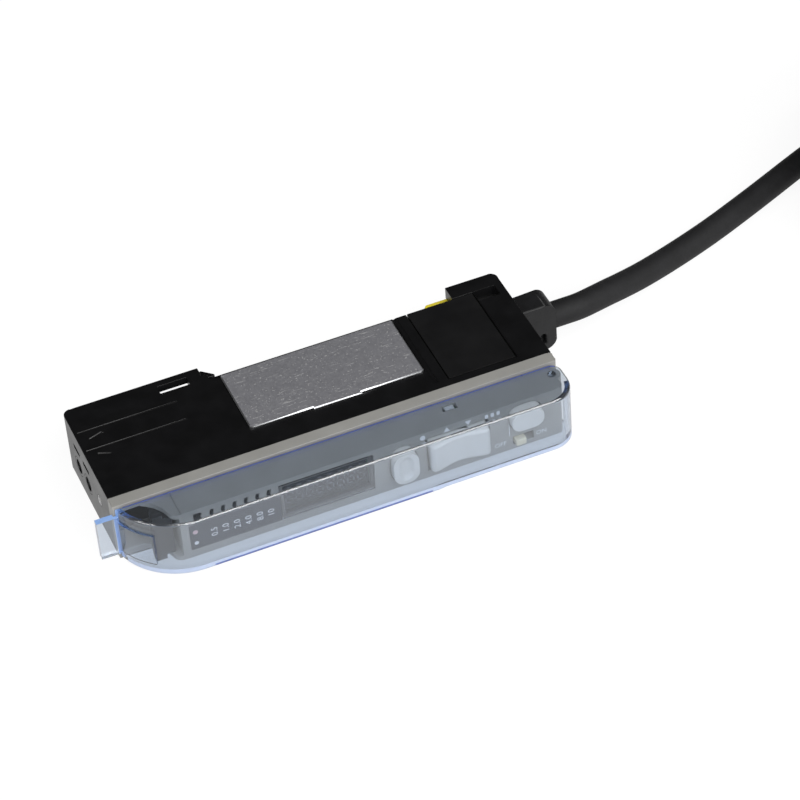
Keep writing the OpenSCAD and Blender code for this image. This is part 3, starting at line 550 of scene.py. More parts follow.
def dress(piece: bpy.types.Object, finish: Finish) -> None:
    """Gives an object one finish all over.

    Args:
        piece: The object.
        finish: Its finish.
    """
    if piece.material_slots:
        for place in piece.material_slots:
            place.material = finish.material()
    else:
        piece.data.materials.append(finish.material())


def second_finish(piece: bpy.types.Object, finish: Finish, faces: list[int]) -> None:
    """Gives some faces of a dressed object a finish of their own.

    Args:
        piece: The object.
        finish: The finish of those faces.
        faces: Their numbers.
    """
    piece.data.materials.append(finish.material())
    for i in faces:
        piece.data.polygons[i].material_index = len(piece.data.materials) - 1


def keep(piece: bpy.types.Object, body: Body, finish: Finish,
         nodes: tuple[str, ...] = ()) -> bpy.types.Object:
    """Dresses a finished piece and hands it to the frame.

    Args:
        piece: The piece, in its place.
        body: The body that it rides on.
        finish: Its finish.
        nodes: The CAD nodes that it stands for.

    Returns:
        The piece.
    """
    dress(piece, finish)
    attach(piece, body.value)
    if nodes:
        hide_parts(*nodes)
    LOG.info("%s rides on %s", piece.name, body.value)
    return piece


def smooth(piece: bpy.types.Object) -> None:
    """Shades a piece smooth across its roundings and flat on its flats.

    Args:
        piece: The piece, with any shading that it had.
    """
    only(piece)
    if piece.data.has_custom_normals:
        bpy.ops.mesh.customdata_custom_splitnormals_clear()
    bpy.ops.object.shade_smooth_by_angle(angle=SHARP_TURN)
    apply_modifier(piece, "WEIGHTED_NORMAL", keep_sharp=True)


def narrow(face: bmesh.types.BMFace) -> float:
    """Gives about the width of a face across its longest edge, twice that for a four-sided one."""
    return 2 * face.calc_area() / max(edge.calc_length() for edge in face.edges)


@dataclass(frozen=True)
class Rounded:
    """A piece that stands for one CAD node and rounds its sharp edges as a mould does. Sizes in mm."""

    node: str
    name: str
    slot: str
    finish: Finish
    # Radius of the rounding, 0 for a copy with its edges as they are
    edge: float = 0.0
    # Edges shorter than this stay sharp
    least: float = 0.0
    # Faces across the rounding
    steps: int = 2
    # Whether flat faces are made whole first, which suits pieces without openings
    merge: bool = True
    body: Body = Body.CASE

    def shape(self) -> bpy.types.Object:
        """Copies the node and rounds its sharp edges.

        Returns:
            The new piece, where the node is.
        """
        piece = bpy.data.objects.new(self.name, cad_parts[self.node].data.copy())
        piece.data.materials.clear()
        bpy.context.scene.collection.objects.link(piece)
        only(piece)
        bpy.ops.object.mode_set(mode="EDIT")
        bpy.ops.mesh.select_all(action="SELECT")
        bpy.ops.mesh.remove_doubles(threshold=SAME_PLACE * MM)
        if self.merge:
            bpy.ops.mesh.dissolve_limited(angle_limit=FLAT_TURN)
        bpy.ops.object.mode_set(mode="OBJECT")
        if self.edge > 0:
            self.weigh(piece)
            apply_modifier(piece, "BEVEL", width=self.edge * MM, segments=self.steps, limit_method="WEIGHT",
                           use_clamp_overlap=False, miter_outer="MITER_ARC")
        smooth(piece)
        return piece

    def weigh(self, piece: bpy.types.Object) -> None:
        """Marks the edges that are sharp, long enough and have room beside them for the rounding.

        Args:
            piece: The copy of the node.
        """
        work = bmesh.new()
        work.from_mesh(piece.data)
        weight = work.edges.layers.float.new("bevel_weight_edge")
        for edge in work.edges:
            sharp = len(edge.link_faces) == 2 and edge.calc_face_angle() > SHARP_TURN
            long = edge.calc_length() > self.least * MM
            room = min(map(narrow, edge.link_faces)) > ROUNDING_ROOM * self.edge * MM
            edge[weight] = 1.0 if sharp and long and room else 0.0
        work.to_mesh(piece.data)
        work.free()

    def hand_in(self, piece: bpy.types.Object) -> bpy.types.Object:
        """Dresses the shaped piece and hands it to the frame."""
        return keep(piece, self.body, self.finish, (self.node,))

    def make(self) -> bpy.types.Object:
        """Shapes the piece and hands it in."""
        return self.hand_in(self.shape())


@dataclass(frozen=True)
class SoftBox:
    """A soft box that faces the object. Metres and watts."""

    name: str
    place: tuple[float, float, float]
    size: tuple[float, float]
    watts: float
    gloss_only: bool = False

    def hang(self) -> None:
        """Hangs the lamp. One for gloss only shows as a glint, on the pieces of the glint set alone."""
        bpy.ops.object.select_all(action="DESELECT")
        bpy.ops.object.light_add(type="AREA", location=self.place)
        lamp = bpy.context.object
        lamp.name = self.name
        lamp.data.shape = "RECTANGLE"
        lamp.data.size, lamp.data.size_y = self.size
        lamp.data.energy = self.watts
        lamp.rotation_euler = (-Vector(self.place)).to_track_quat("-Z", "Y").to_euler()
        lamp.visible_diffuse = not self.gloss_only
        if self.gloss_only:
            lamp.light_linking.receiver_collection = bpy.data.collections.new(GLINT_SET)


@dataclass
class Stage:
    """Camera, floor, backdrop and soft lamps. Sizes in metres."""

    eye: tuple[float, float, float] = (-0.1099, -0.3376, 0.3315)
    right: tuple[float, float, float] = (0.9195, -0.3882, -0.0619)
    up: tuple[float, float, float] = (0.3043, 0.6033, 0.7371)
    look: tuple[float, float, float] = (0.2489, 0.6966, -0.6729)
    lens_mm: float = 151.46
    sensor_mm: float = 36.0
    nearest: float = 0.01
    floor_side: float = 4.0
    floor_drop: float = 0.05 * MM
    paper: tuple[str, str] = ("#e6e6e6", "#e9e9e9")
    paper_mm: float = 2.0
    floor_glow: float = 0.82
    glow_level: float = 0.92
    camera_glow: float = 0.18
    ambient: float = 0.25
    backdrop: float = 0.03
    backdrop_from: float = 0.12
    backdrop_full: float = 0.5
    lamps: tuple[SoftBox, ...] = (
        SoftBox("key_box", (0.18, -0.62, 0.62), (1.1, 1.0), 8.6),
        SoftBox("side_box", (-0.75, -0.3, 0.4), (0.4, 0.4), 3.0),
        SoftBox("line_box", (0.22, -0.6, 0.6), (1.0, 0.14), 1.6),
        SoftBox("glint_box", (0.22, -0.6, 0.6), (1.0, 0.6), 13.0, gloss_only=True))

    def camera(self) -> None:
        """Stands the camera where the photograph was taken."""
        bpy.ops.object.select_all(action="DESELECT")
        bpy.ops.object.camera_add()
        camera = bpy.context.object
        camera.name = "camera"
        camera.data.lens = self.lens_mm
        camera.data.sensor_width = self.sensor_mm
        camera.data.clip_start = self.nearest
        rows = zip(self.right, self.up, (-v for v in self.look), self.eye)
        camera.matrix_world = Matrix([*rows, (0.0, 0.0, 0.0, 1.0)])
        bpy.context.scene.camera = camera

    def floor(self) -> None:
        """Lays a white floor that keeps a soft shadow and looks white to camera, gloss and glass."""
        bpy.ops.object.select_all(action="DESELECT")
        bpy.ops.mesh.primitive_plane_add(size=self.floor_side, location=(0.0, 0.0, -self.floor_drop))
        floor = bpy.context.object
        floor.name = "floor"
        settle(floor)
        white = bpy.data.materials.new("white_paper_floor")
        white.use_nodes = True
        white.cycles.emission_sampling = "NONE"
        tree = white.node_tree
        shader = tree.nodes["Principled BSDF"]
        grain = put(tree, "ShaderNodeTexNoise", {"Scale": per_mm(self.paper_mm)})
        tone = put(tree, "ShaderNodeMix", {
            0: grain.outputs[0], 6: linear(self.paper[0]), 7: linear(self.paper[1])}, data_type="RGBA")
        plug(tree, shader, {"Base Color": tone.outputs[2], "Roughness": 0.9, "IOR": 1.2})
        path = put(tree, "ShaderNodeLightPath")
        seen = put(tree, "ShaderNodeMath", {
            0: path.outputs["Is Camera Ray"], 1: path.outputs["Is Glossy Ray"]}, operation="MAXIMUM")
        seen = put(tree, "ShaderNodeMath", {
            0: seen.outputs[0], 1: path.outputs["Is Transmission Ray"]}, operation="MAXIMUM")
        part = put(tree, "ShaderNodeMath", {0: seen.outputs[0], 1: self.floor_glow}, operation="MULTIPLY")
        level = put(tree, "ShaderNodeMath", {
            0: path.outputs["Is Camera Ray"], 1: self.camera_glow, 2: self.glow_level},
            operation="MULTIPLY_ADD")
        glow = put(tree, "ShaderNodeEmission", {
            "Color": linear(WHITE), "Strength": level.outputs[0]})
        both = put(tree, "ShaderNodeMixShader", {
            0: part.outputs[0], 1: shader.outputs[0], 2: glow.outputs[0]})
        plug(tree, tree.nodes["Material Output"], {"Surface": both.outputs[0]})
        floor.data.materials.append(white)

    def world(self) -> None:
        """Makes the room: light on the near side, dark behind the object, white where it is looked at."""
        scene = bpy.context.scene
        scene.view_settings.view_transform = "Standard"
        world = scene.world or bpy.data.worlds.new("room")
        scene.world = world
        world.use_nodes = True
        world.cycles.sampling_method = "NONE"
        tree = world.node_tree
        tree.nodes.clear()
        way = put(tree, "ShaderNodeSeparateXYZ", {
            "Vector": put(tree, "ShaderNodeTexCoord").outputs["Generated"]})
        room = put(tree, "ShaderNodeMapRange", {
            "Value": way.outputs["Y"], "From Min": self.backdrop_from, "From Max": self.backdrop_full,
            "To Min": self.ambient, "To Max": self.backdrop})
        path = put(tree, "ShaderNodeLightPath")
        level = put(tree, "ShaderNodeMix", {
            0: path.outputs["Is Camera Ray"], 2: room.outputs[0], 3: 1.0}, data_type="FLOAT")
        back = put(tree, "ShaderNodeBackground", {
            "Color": linear(WHITE), "Strength": level.outputs[0]})
        put(tree, "ShaderNodeOutputWorld", {"Surface": back.outputs[0]})

    def build(self) -> None:
        """Sets up the camera, the floor, the room and the lamps."""
        self.camera()
        self.floor()
        self.world()
        for lamp in self.lamps:
            lamp.hang()
        LOG.info("stage is set")


@dataclass
class Cable:
    """The fixed cable: strain relief, visible run, folded coil, tie and stripped cores. Sizes in mm."""

    mouth: tuple[float, float] = (73.3, 12.5)
    thick: float = 4.0
    run: tuple[tuple[float, float, float], ...] = (
        (0, 0, 5), (2.5, 0, 5), (5, 0.2, 4.9), (9.5, 1.6, 4.3), (16, 4, 3.1), (23.5, 7, 2.2), (32, 10.2, 2),
        (42, 14.4, 2), (49, 17.5, 2), (55, 20, 2), (60.5, 21.6, 2.2), (65, 22.4, 2.5), (70, 22.6, 2.6))
    coil_start: tuple[float, float] = (70.0, 2.1)
    coil_run: float = 41.0
    turns: tuple[float, ...] = (20.5, 16.4, 12.3)
    layer: float = 4.2
    first_z: float = 2.6
    run_points: int = 5
    bend_points: int = 9
    tail: tuple[tuple[float, float, float], ...] = (
        (0, 20.5, 19.2), (8, 20, 19.2), (20, 18.6, 19.2), (32, 18.4, 19.2))
    core_thick: float = 0.9
    core_side: float = 0.7
    core_level: float = 0.6
    core_spread: float = 1.5
    core_way: tuple[tuple[float, float, float], ...] = (
        (0, 0, 0), (4, 0.3, -0.1), (9, 0.7, -0.4), (14, 0.9, -0.7), (19, 1, -0.9))
    core_finishes: tuple[tuple[str, Finish], ...] = (
        ("brown", CORE_BROWN), ("blue", CORE_BLUE), ("black", CORE_BLACK), ("white", CORE_WHITE))
    tie: Rounded = Rounded("coil_tie", "coil_tie_band", "tie_plastic", TIE_BLACK, 0.2, 1.0, merge=False)
    gland: Rounded = Rounded("cable_gland", "strain_relief", "cable_sheath", GLAND_GREY, 0.35, 0.5, 3)

    @staticmethod
    def ease(t: float) -> float:
        """Eases from 0 to 1."""
        return t * t * (3 - 2 * t)

    def straight(self, top: bool, r0: float, r1: float, z: float) -> list[Vector]:
        """Gives the points of one straight run of the coil, which may step to the next turn.

        Args:
            top: Whether it is the far run.
            r0: Turn at its start.
            r1: Turn at its end.
            z: Height.

        Returns:
            Points from the coil's start.
        """
        points = []
        for i in range(self.run_points):
            t = i / self.run_points
            r = r0 + (r1 - r0) * self.ease(t)
            points.append(Vector((self.coil_run * t, r, z) if top else (self.coil_run * (1 - t), -r, z)))
        return points

    def bend(self, right: bool, r: float, z0: float, z1: float) -> list[Vector]:
        """Gives the points of one round end of the coil, which may rise to the next layer.

        Args:
            right: Whether it is the end away from the case.
            r: Radius.
            z0: Height at its start.
            z1: Height at its end.

        Returns:
            Points from the coil's start.
        """
        points = []
        for i in range(self.bend_points):
            t = i / self.bend_points
            a = math.radians((90 if right else 270) - 180 * t)
            x = (self.coil_run if right else 0.0) + r * math.cos(a)
            points.append(Vector((x, r * math.sin(a), z0 + (z1 - z0) * self.ease(t))))
        return points

    def coil(self) -> list[Vector]:
        """Gives the points of the coil: two pairs of layers, wound inwards and out again, then the tail.

        Returns:
            Points from the coil's start.
        """
        r, z, points = self.turns, self.first_z, []
        for _ in range(2):
            points += self.straight(True, r[0], r[0], z)
            for k in (0, 1):
                points += self.bend(True, r[k], z, z) + self.straight(False, r[k], r[k + 1], z)
                points += self.bend(False, r[k + 1], z, z) + self.straight(True, r[k + 1], r[k + 1], z)
            points += self.bend(True, r[2], z, z + self.layer)
            z += self.layer
            points += self.straight(False, r[2], r[2], z) + self.bend(False, r[2], z, z)
            points += self.straight(True, r[2], r[1], z) + self.bend(True, r[1], z, z)
            points += self.straight(False, r[1], r[1], z) + self.bend(False, r[1], z, z)
            points += self.straight(True, r[1], r[0], z) + self.bend(True, r[0], z, z)
            points += self.straight(False, r[0], r[0], z) + self.bend(False, r[0], z, z + self.layer)
            z += self.layer
        return points + [Vector(p) for p in self.tail]

    def between(self, points: list[Vector]) -> list[Vector]:
        """Adds a point half way along each stretch, on a smooth line through all of them.

        Args:
            points: The points of the line.

        Returns:
            The points with those between them.
        """
        ends = [points[0], *points, points[-1]]
        filled = []
        for a, b, c, d in zip(ends, ends[1:], ends[2:], ends[3:]):
            filled += [b.copy(), (9 * (b + c) - a - d) / 16]
        return filled + [points[-1].copy()]

    def route(self) -> list[Vector]:
        """Gives the whole way of the cable.

        Returns:
            Points in the frame, in metres.
        """
        visible = self.between([Vector(p) for p in self.run])[:-1]
        start = Vector((*self.coil_start, 0.0))
        points = visible + [start + p for p in self.coil()]
        return [at(self.mouth[0] + p.x, self.mouth[1] + p.y, p.z) for p in points]

    def tube(self, name: str, points: list[Vector], thick: float) -> bpy.types.Object:
        """Makes a round tube along a smooth line.

        Args:
            name: The tube's name.
            points: Points in the frame.
            thick: Its diameter in mm.

        Returns:
            The tube as a curve.
        """
        curve = bpy.data.curves.new(name, "CURVE")
        curve.dimensions = "3D"
        line = curve.splines.new("BEZIER")
        line.bezier_points.add(len(points) - 1)
        for knot, point in zip(line.bezier_points, points):
            knot.co = point
            knot.handle_left_type = knot.handle_right_type = "AUTO"
        curve.bevel_depth = thick / 2 * MM
        curve.bevel_resolution = 6
        curve.resolution_u = 4
        curve.use_fill_caps = True
        piece = bpy.data.objects.new(name, curve)
        bpy.context.scene.collection.objects.link(piece)
        return piece

    def cores(self, end: Vector) -> list[bpy.types.Object]:
        """Makes the four stripped cores at the cable's end.

        Args:
            end: The cable's end in the frame.

        Returns:
            The four cores.
        """
        pieces = []
        for i, (colour, finish) in enumerate(self.core_finishes):
            side = -1 if i < 2 else 1
            level = self.core_level if i % 2 == 0 else -self.core_level
            way = []
            for x, y, z in self.core_way:
                out = self.core_side + y * (self.core_spread + level)
                way.append(end + Vector((x, side * out, level + z)) * MM)
            core = self.tube(f"stripped_core_{colour}", way, self.core_thick)
            pieces.append(keep(core, Body.CASE, finish, (f"core_{colour}",)))
        return pieces

    def build(self) -> None:
        """Makes the cable and what is on it."""
        way = self.route()
        lead = self.tube("cable_lead", way, self.thick)
        keep(lead, Body.CASE, CABLE_GREY, ("cable", "cable_coil", "cable_tail"))
        tie = self.tie.make()
        cores = self.cores(way[-1])
        self.gland.make()


@dataclass
class Case:
    """The black tub with its plate, door, latch and what shows in its ends. Sizes in mm."""

    shell: Rounded = Rounded(
        "case_shell", "case_moulding", "black_plastic", CASE_BLACK, 0.09, 0.5, merge=False)
    plate: Rounded = Rounded(
        "side_plate", "side_plate_sheet", "plate_metal", PLATE_METAL, 0.18, 0.15, merge=False)
    door: Rounded = Rounded("connector_cover", "connector_door", "black_plastic", DOOR_BLACK, 0.05, 0.5)
    latch: Rounded = Rounded(
        "rail_latch", "rail_latch_slide", "latch_plastic", LATCH_YELLOW, 0.15, 0.4, body=Body.LATCH)
    spring: Rounded = Rounded("latch_spring", "latch_spring_coil", "bright_steel", BRIGHT_STEEL, merge=False)
    lens: Rounded = Rounded("end_lens", "end_lens_dome", "end_lens_plastic", LENS_CLEAR, 0.12, 0.05)
    holder: Rounded = Rounded(
        "fibre_holder", "fibre_ports", "black_plastic", CASE_BLACK, 0.08, 0.1, merge=False)
    latch_travel: float = 1.8
    spring_gap: float = 0.05
    # Faces of the plate that lie less flat than this belong to its rim
    plate_flat: float = 0.95

    def build(self) -> None:
        """Makes the tub and the pieces on it."""
        self.shell.make()
        plate = self.plate.make()
        rim = [f.index for f in plate.data.polygons if abs(f.normal.z) < self.plate_flat]
        second_finish(plate, PLATE_RIM, rim)
        self.door.make()
        self.latch.make()
        spring = self.spring.make()
        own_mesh(spring)
        self.lens.make()
        self.holder.make()


@dataclass
class Panel:
    """The grey panel with window, digits, label, lenses and print. Sizes in mm."""

    moulding: Rounded = Rounded(
        "panel_bezel", "panel_moulding", "grey_plastic", BEZEL_GREY, 0.15, 0.5, merge=False)
    window: Rounded = Rounded("display_window", "display_pane", "smoked_plastic", WINDOW_SMOKED, 0.06, 0.3)
    label: Rounded = Rounded("indicator_label", "indicator_film", "label_film", LABEL_FILM, 0.03, 0.2)
    lenses: Rounded = Rounded("indicator_lenses", "light_pipes", "lens_plastic", LENS_SMOKED, 0.06, 0.2)
    digit_w: float = 0.95
    digit_h: float = 2.2
    digit_pitch: float = 1.56
    digit_slant: float = 0.14
    stroke: float = 0.2
    # How far the bars stop short of the digit's corners, in strokes
    bar_short: float = 1.5
    digits: int = 8
    ink: float = 0.02
    # Type size that gives figures of height 1
    type_size: float = 1.42
    # Figures beside the lenses: where they start and stand, their pitch and height
    marks: tuple[str, ...] = ("10", "8.0", "4.0", "2.0", "1.0", "0.5")
    lens_x: float = 21.2
    lens_pitch: float = 1.7
    mark_z: float = 4.5
    mark_high: float = 0.95
    # Words beside the selector
    words: tuple[tuple[str, float], ...] = (("ON", 62.6), ("OFF", 56.2))
    word_z: float = 2.6
    word_high: float = 0.75
    # Triangles: middle and turn
    arrows: tuple[tuple[float, float, float], ...] = ((48.3, 8.15, 0.0), (51.6, 8.3, math.pi))
    arrow_radius: float = 0.55
    arrow_corners: int = 3
    # Rules and the first of a row of bars: left, lower, right and upper side
    rules: tuple[tuple[float, float, float, float], ...] = ((57.6, 3.7, 57.72, 6.0), (57.6, 5.9, 59.0, 6.02))
    bar: tuple[float, float, float, float] = (54.2, 7.8, 54.7, 8.5)
    bar_pitch: float = 0.9
    bars: int = 3
    # Dots: middle and radius
    dots: tuple[tuple[float, float, float], ...] = ((9.95, 3.45, 0.32), (44.6, 8.15, 0.42))
    pink_dot: tuple[float, float, float] = (9.95, 5.5, 0.38)
    dot_corners: int = 20

    def segment(self, name: str) -> bpy.types.Object:
        """Models one bar of a digit: a flat plate with pointed ends, along X, facing the panel's front.

        Args:
            name: The bar's name.

        Returns:
            The bar, at the origin.
        """
        bpy.ops.object.select_all(action="DESELECT")
        bpy.ops.mesh.primitive_cylinder_add(vertices=4, radius=self.stroke / 2 * MM, depth=self.ink * MM)
        bar = bpy.context.object
        bar.name = name
        half = (self.digit_w - self.bar_short * self.stroke) / 2 * MM
        for side in (-1.0, 1.0):
            bpy.ops.object.mode_set(mode="EDIT")
            bpy.ops.mesh.select_mode(type="VERT")
            bpy.ops.mesh.select_all(action="DESELECT")
            bpy.ops.object.mode_set(mode="OBJECT")
            for vertex in bar.data.vertices:
                vertex.select = vertex.co.x * side > self.stroke / 4 * MM
            bpy.ops.object.mode_set(mode="EDIT")
            bpy.ops.transform.translate(value=(side * half, 0.0, 0.0))
            bpy.ops.object.mode_set(mode="OBJECT")
        self.rim(bar)
        return bar

    def rim(self, film: bpy.types.Object) -> None:
        """Draws in the rim of a thin printed film, as ink does when it dries.

        Args:
            film: The film, with its size in its mesh.
        """
        only(film)
        bpy.ops.object.mode_set(mode="EDIT")
        bpy.ops.mesh.select_all(action="SELECT")
        bpy.ops.mesh.bevel(offset=self.ink / 4 * MM, segments=1, affect="EDGES")
        bpy.ops.mesh.normals_make_consistent(inside=False)
        bpy.ops.object.mode_set(mode="OBJECT")

    def digit_bars(self) -> None:
        """Makes the unlit digits behind the window."""
        low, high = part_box("display_module")
        face = low.y / MM + FRAME_ORIGIN[1] - self.ink / 2
        mid_z = (low.z + high.z) / 2 / MM
        first = (low.x + high.x) / 2 / MM + FRAME_ORIGIN[0] - self.digit_pitch * (self.digits - 1) / 2
        w, h = self.digit_w / 2, self.digit_h / 2
        places = [(0, h, 0), (0, 0, 0), (0, -h, 0)]
        places += [(-w, h / 2, 1), (w, h / 2, 1), (-w, -h / 2, 1), (w, -h / 2, 1)]
        model = self.segment("digit_model")
        bars = []
        for i in range(self.digits):
            for dx, dz, upright in places:
                bar = bpy.data.objects.new("digit_bar", model.data.copy())
                bpy.context.scene.collection.objects.link(bar)
                turn = Matrix.Rotation(math.pi / 2, 4, "X") @ Matrix.Rotation(upright * math.pi / 2, 4, "Z")
                x = first + i * self.digit_pitch + dx + self.digit_slant * dz
                bar.matrix_world = Matrix.Translation(at(x, face, mid_z + dz)) @ turn
                bars.append(bar)
        bpy.data.objects.remove(model)
        digits = self.joined("display_digits", bars)
        keep(digits, Body.CASE, DIGIT_GREY)

    def joined(self, name: str, pieces: list[bpy.types.Object]) -> bpy.types.Object:
        """Joins pieces of one finish into one object at the origin.

        Args:
            name: The object's name.
            pieces: What is joined.

        Returns:
            The one object.
        """
        bpy.ops.object.select_all(action="DESELECT")
        for piece in pieces:
            piece.select_set(True)
        bpy.context.view_layer.objects.active = pieces[0]
        bpy.ops.object.transform_apply(location=True, rotation=True, scale=True)
        if len(pieces) > 1:
            bpy.ops.object.join()
        pieces[0].name = name
        return pieces[0]

    def word(self, text: str, x: float, z: float, high: float, turn: Turn) -> bpy.types.Object:
        """Prints a short plain mark on the panel's front.

        Args:
            text: The mark.
            x: Its middle along the panel.
            z: Its middle across the panel.
            high: Height of its figures.
            turn: How it is turned.

        Returns:
            The mark as a thin mesh.
        """
        bpy.ops.object.select_all(action="DESELECT")
        bpy.ops.object.text_add()
        mark = bpy.context.object
        mark.data.body = text
        mark.data.align_x, mark.data.align_y = "CENTER", "CENTER"
        mark.data.size = high * self.type_size * MM
        mark.data.extrude = self.ink / 2 * MM
        bpy.ops.object.convert(target="MESH")
        mark = bpy.context.object
        upright = Matrix.Rotation(math.pi / 2, 4, "X") @ Matrix.Rotation(turn.value, 4, "Z")
        mark.matrix_world = Matrix.Translation(at(x, PANEL_Y - self.ink / 2, z)) @ upright
        return mark

    def plate(self, x: float, z: float, corners: int, radius: float, turn: float) -> bpy.types.Object:
        """Prints a plain many-sided dot on the panel's front.

        Args:
            x: Its middle along the panel.
            z: Its middle across the panel.
            corners: Number of its corners.
            radius: Its radius.
            turn: Its turn in radians.

        Returns:
            The dot as a thin mesh.
        """
        bpy.ops.object.select_all(action="DESELECT")
        bpy.ops.mesh.primitive_cylinder_add(vertices=corners, radius=radius * MM, depth=self.ink * MM)
        dot = bpy.context.object
        upright = Matrix.Rotation(math.pi / 2, 4, "X") @ Matrix.Rotation(turn, 4, "Z")
        dot.matrix_world = Matrix.Translation(at(x, PANEL_Y - self.ink / 2, z)) @ upright
        settle(dot)
        self.rim(dot)
        return dot

    def rule(self, x0: float, z0: float, x1: float, z1: float) -> bpy.types.Object:
        """Prints a thin straight bar between two corners on the panel's front.

        Args:
            x0: Left side.
            z0: Lower side.
            x1: Right side.
            z1: Upper side.

        Returns:
            The bar as a thin mesh.
        """
        bpy.ops.object.select_all(action="DESELECT")
        bpy.ops.mesh.primitive_cube_add(size=1.0)
        bar = bpy.context.object
        bar.scale = ((x1 - x0) * MM, self.ink * MM, (z1 - z0) * MM)
        bar.location = at((x0 + x1) / 2, PANEL_Y - self.ink / 2, (z0 + z1) / 2)
        settle(bar)
        self.rim(bar)
        return bar

    def prints(self) -> None:
        """Prints the plain figures, triangles, dots and rules."""
        ink = [self.word(text, self.lens_x - i * self.lens_pitch, self.mark_z, self.mark_high, Turn.SIDEWAYS)
               for i, text in enumerate(self.marks)]
        ink += [self.plate(x, z, self.arrow_corners, self.arrow_radius, turn)
                for x, z, turn in self.arrows]
        ink += [self.word(text, x, self.word_z, self.word_high, Turn.UPRIGHT) for text, x in self.words]
        ink += [self.rule(*sides) for sides in self.rules]
        ink += [self.plate(x, z, self.dot_corners, radius, 0.0) for x, z, radius in self.dots]
        x0, z0, x1, z1 = self.bar
        ink += [self.rule(x0 + self.bar_pitch * i, z0, x1 + self.bar_pitch * i, z1)
                for i in range(self.bars)]
        keep(self.joined("panel_print", ink), Body.CASE, INK_WHITE)
        x, z, radius = self.pink_dot
        pink = self.joined("panel_dot", [self.plate(x, z, self.dot_corners, radius, 0.0)])
        keep(pink, Body.CASE, DOT_PINK)

    def build(self) -> None:
        """Makes the panel and all that shows in it."""
        for piece in (self.moulding, self.window, self.label, self.lenses):
            piece.make()
        self.digit_bars()
        self.prints()


@dataclass
class Keys:
    """Buttons, rocker and selector knob. Sizes in mm."""

    keys: tuple[Rounded, ...] = (
        Rounded("set_button", "set_key_cap", "key_plastic", KEY_PALE, 0.35, 0.2, 4, body=Body.SET_KEY),
        Rounded("mode_button", "mode_key_cap", "key_plastic", KEY_PALE, 0.14, 0.2, 4, body=Body.MODE_KEY),
        Rounded("rocker_key", "rocker_cap", "key_plastic", KEY_PALE, 0.55, 0.2, 4, body=Body.ROCKER),
        Rounded("slide_knob", "selector_knob", "knob_plastic", KNOB_IVORY, 0.15, 0.2, 4, body=Body.SELECTOR))
    # Faces that turn to the user at least this squarely
    face_flat: float = 0.99
    # Rings of the hollow in the set button: share of the width and height that is left, and step inwards
    dish_rings: tuple[tuple[float, float, float], ...] = (
        (0.62, 0.8, 0.02), (0.8, 0.9, 0.1), (0.75, 0.87, 0.18), (0.7, 0.85, 0.1), (0.6, 0.8, 0.04))

    def dish(self, button: bpy.types.Object) -> None:
        """Hollows a button's face for the fingertip, ring by ring.

        Args:
            button: The button, with a flat face towards the user.
        """
        only(button)
        bpy.ops.object.mode_set(mode="EDIT")
        bpy.ops.mesh.select_mode(type="FACE")
        bpy.ops.mesh.select_all(action="DESELECT")
        bpy.ops.object.mode_set(mode="OBJECT")
        flat = [f for f in button.data.polygons if f.normal.y < -self.face_flat]
        face = min(flat, key=lambda f: (round(f.center.y / MM, 1), -f.area))
        face.select = True
        middle = face.center.copy()
        bpy.ops.object.mode_set(mode="EDIT")
        for wide, high, deep in self.dish_rings:
            bpy.ops.mesh.extrude_region_move(TRANSFORM_OT_translate={"value": (0.0, deep * MM, 0.0)})
            bpy.ops.transform.resize(value=(wide, 1.0, high), center_override=middle)
        bpy.ops.object.mode_set(mode="OBJECT")
        smooth(button)

    def build(self) -> None:
        """Makes the four keys."""
        for key in self.keys:
            cap = key.shape()
            if key.body is Body.SET_KEY:
                self.dish(cap)
            key.hand_in(cap)


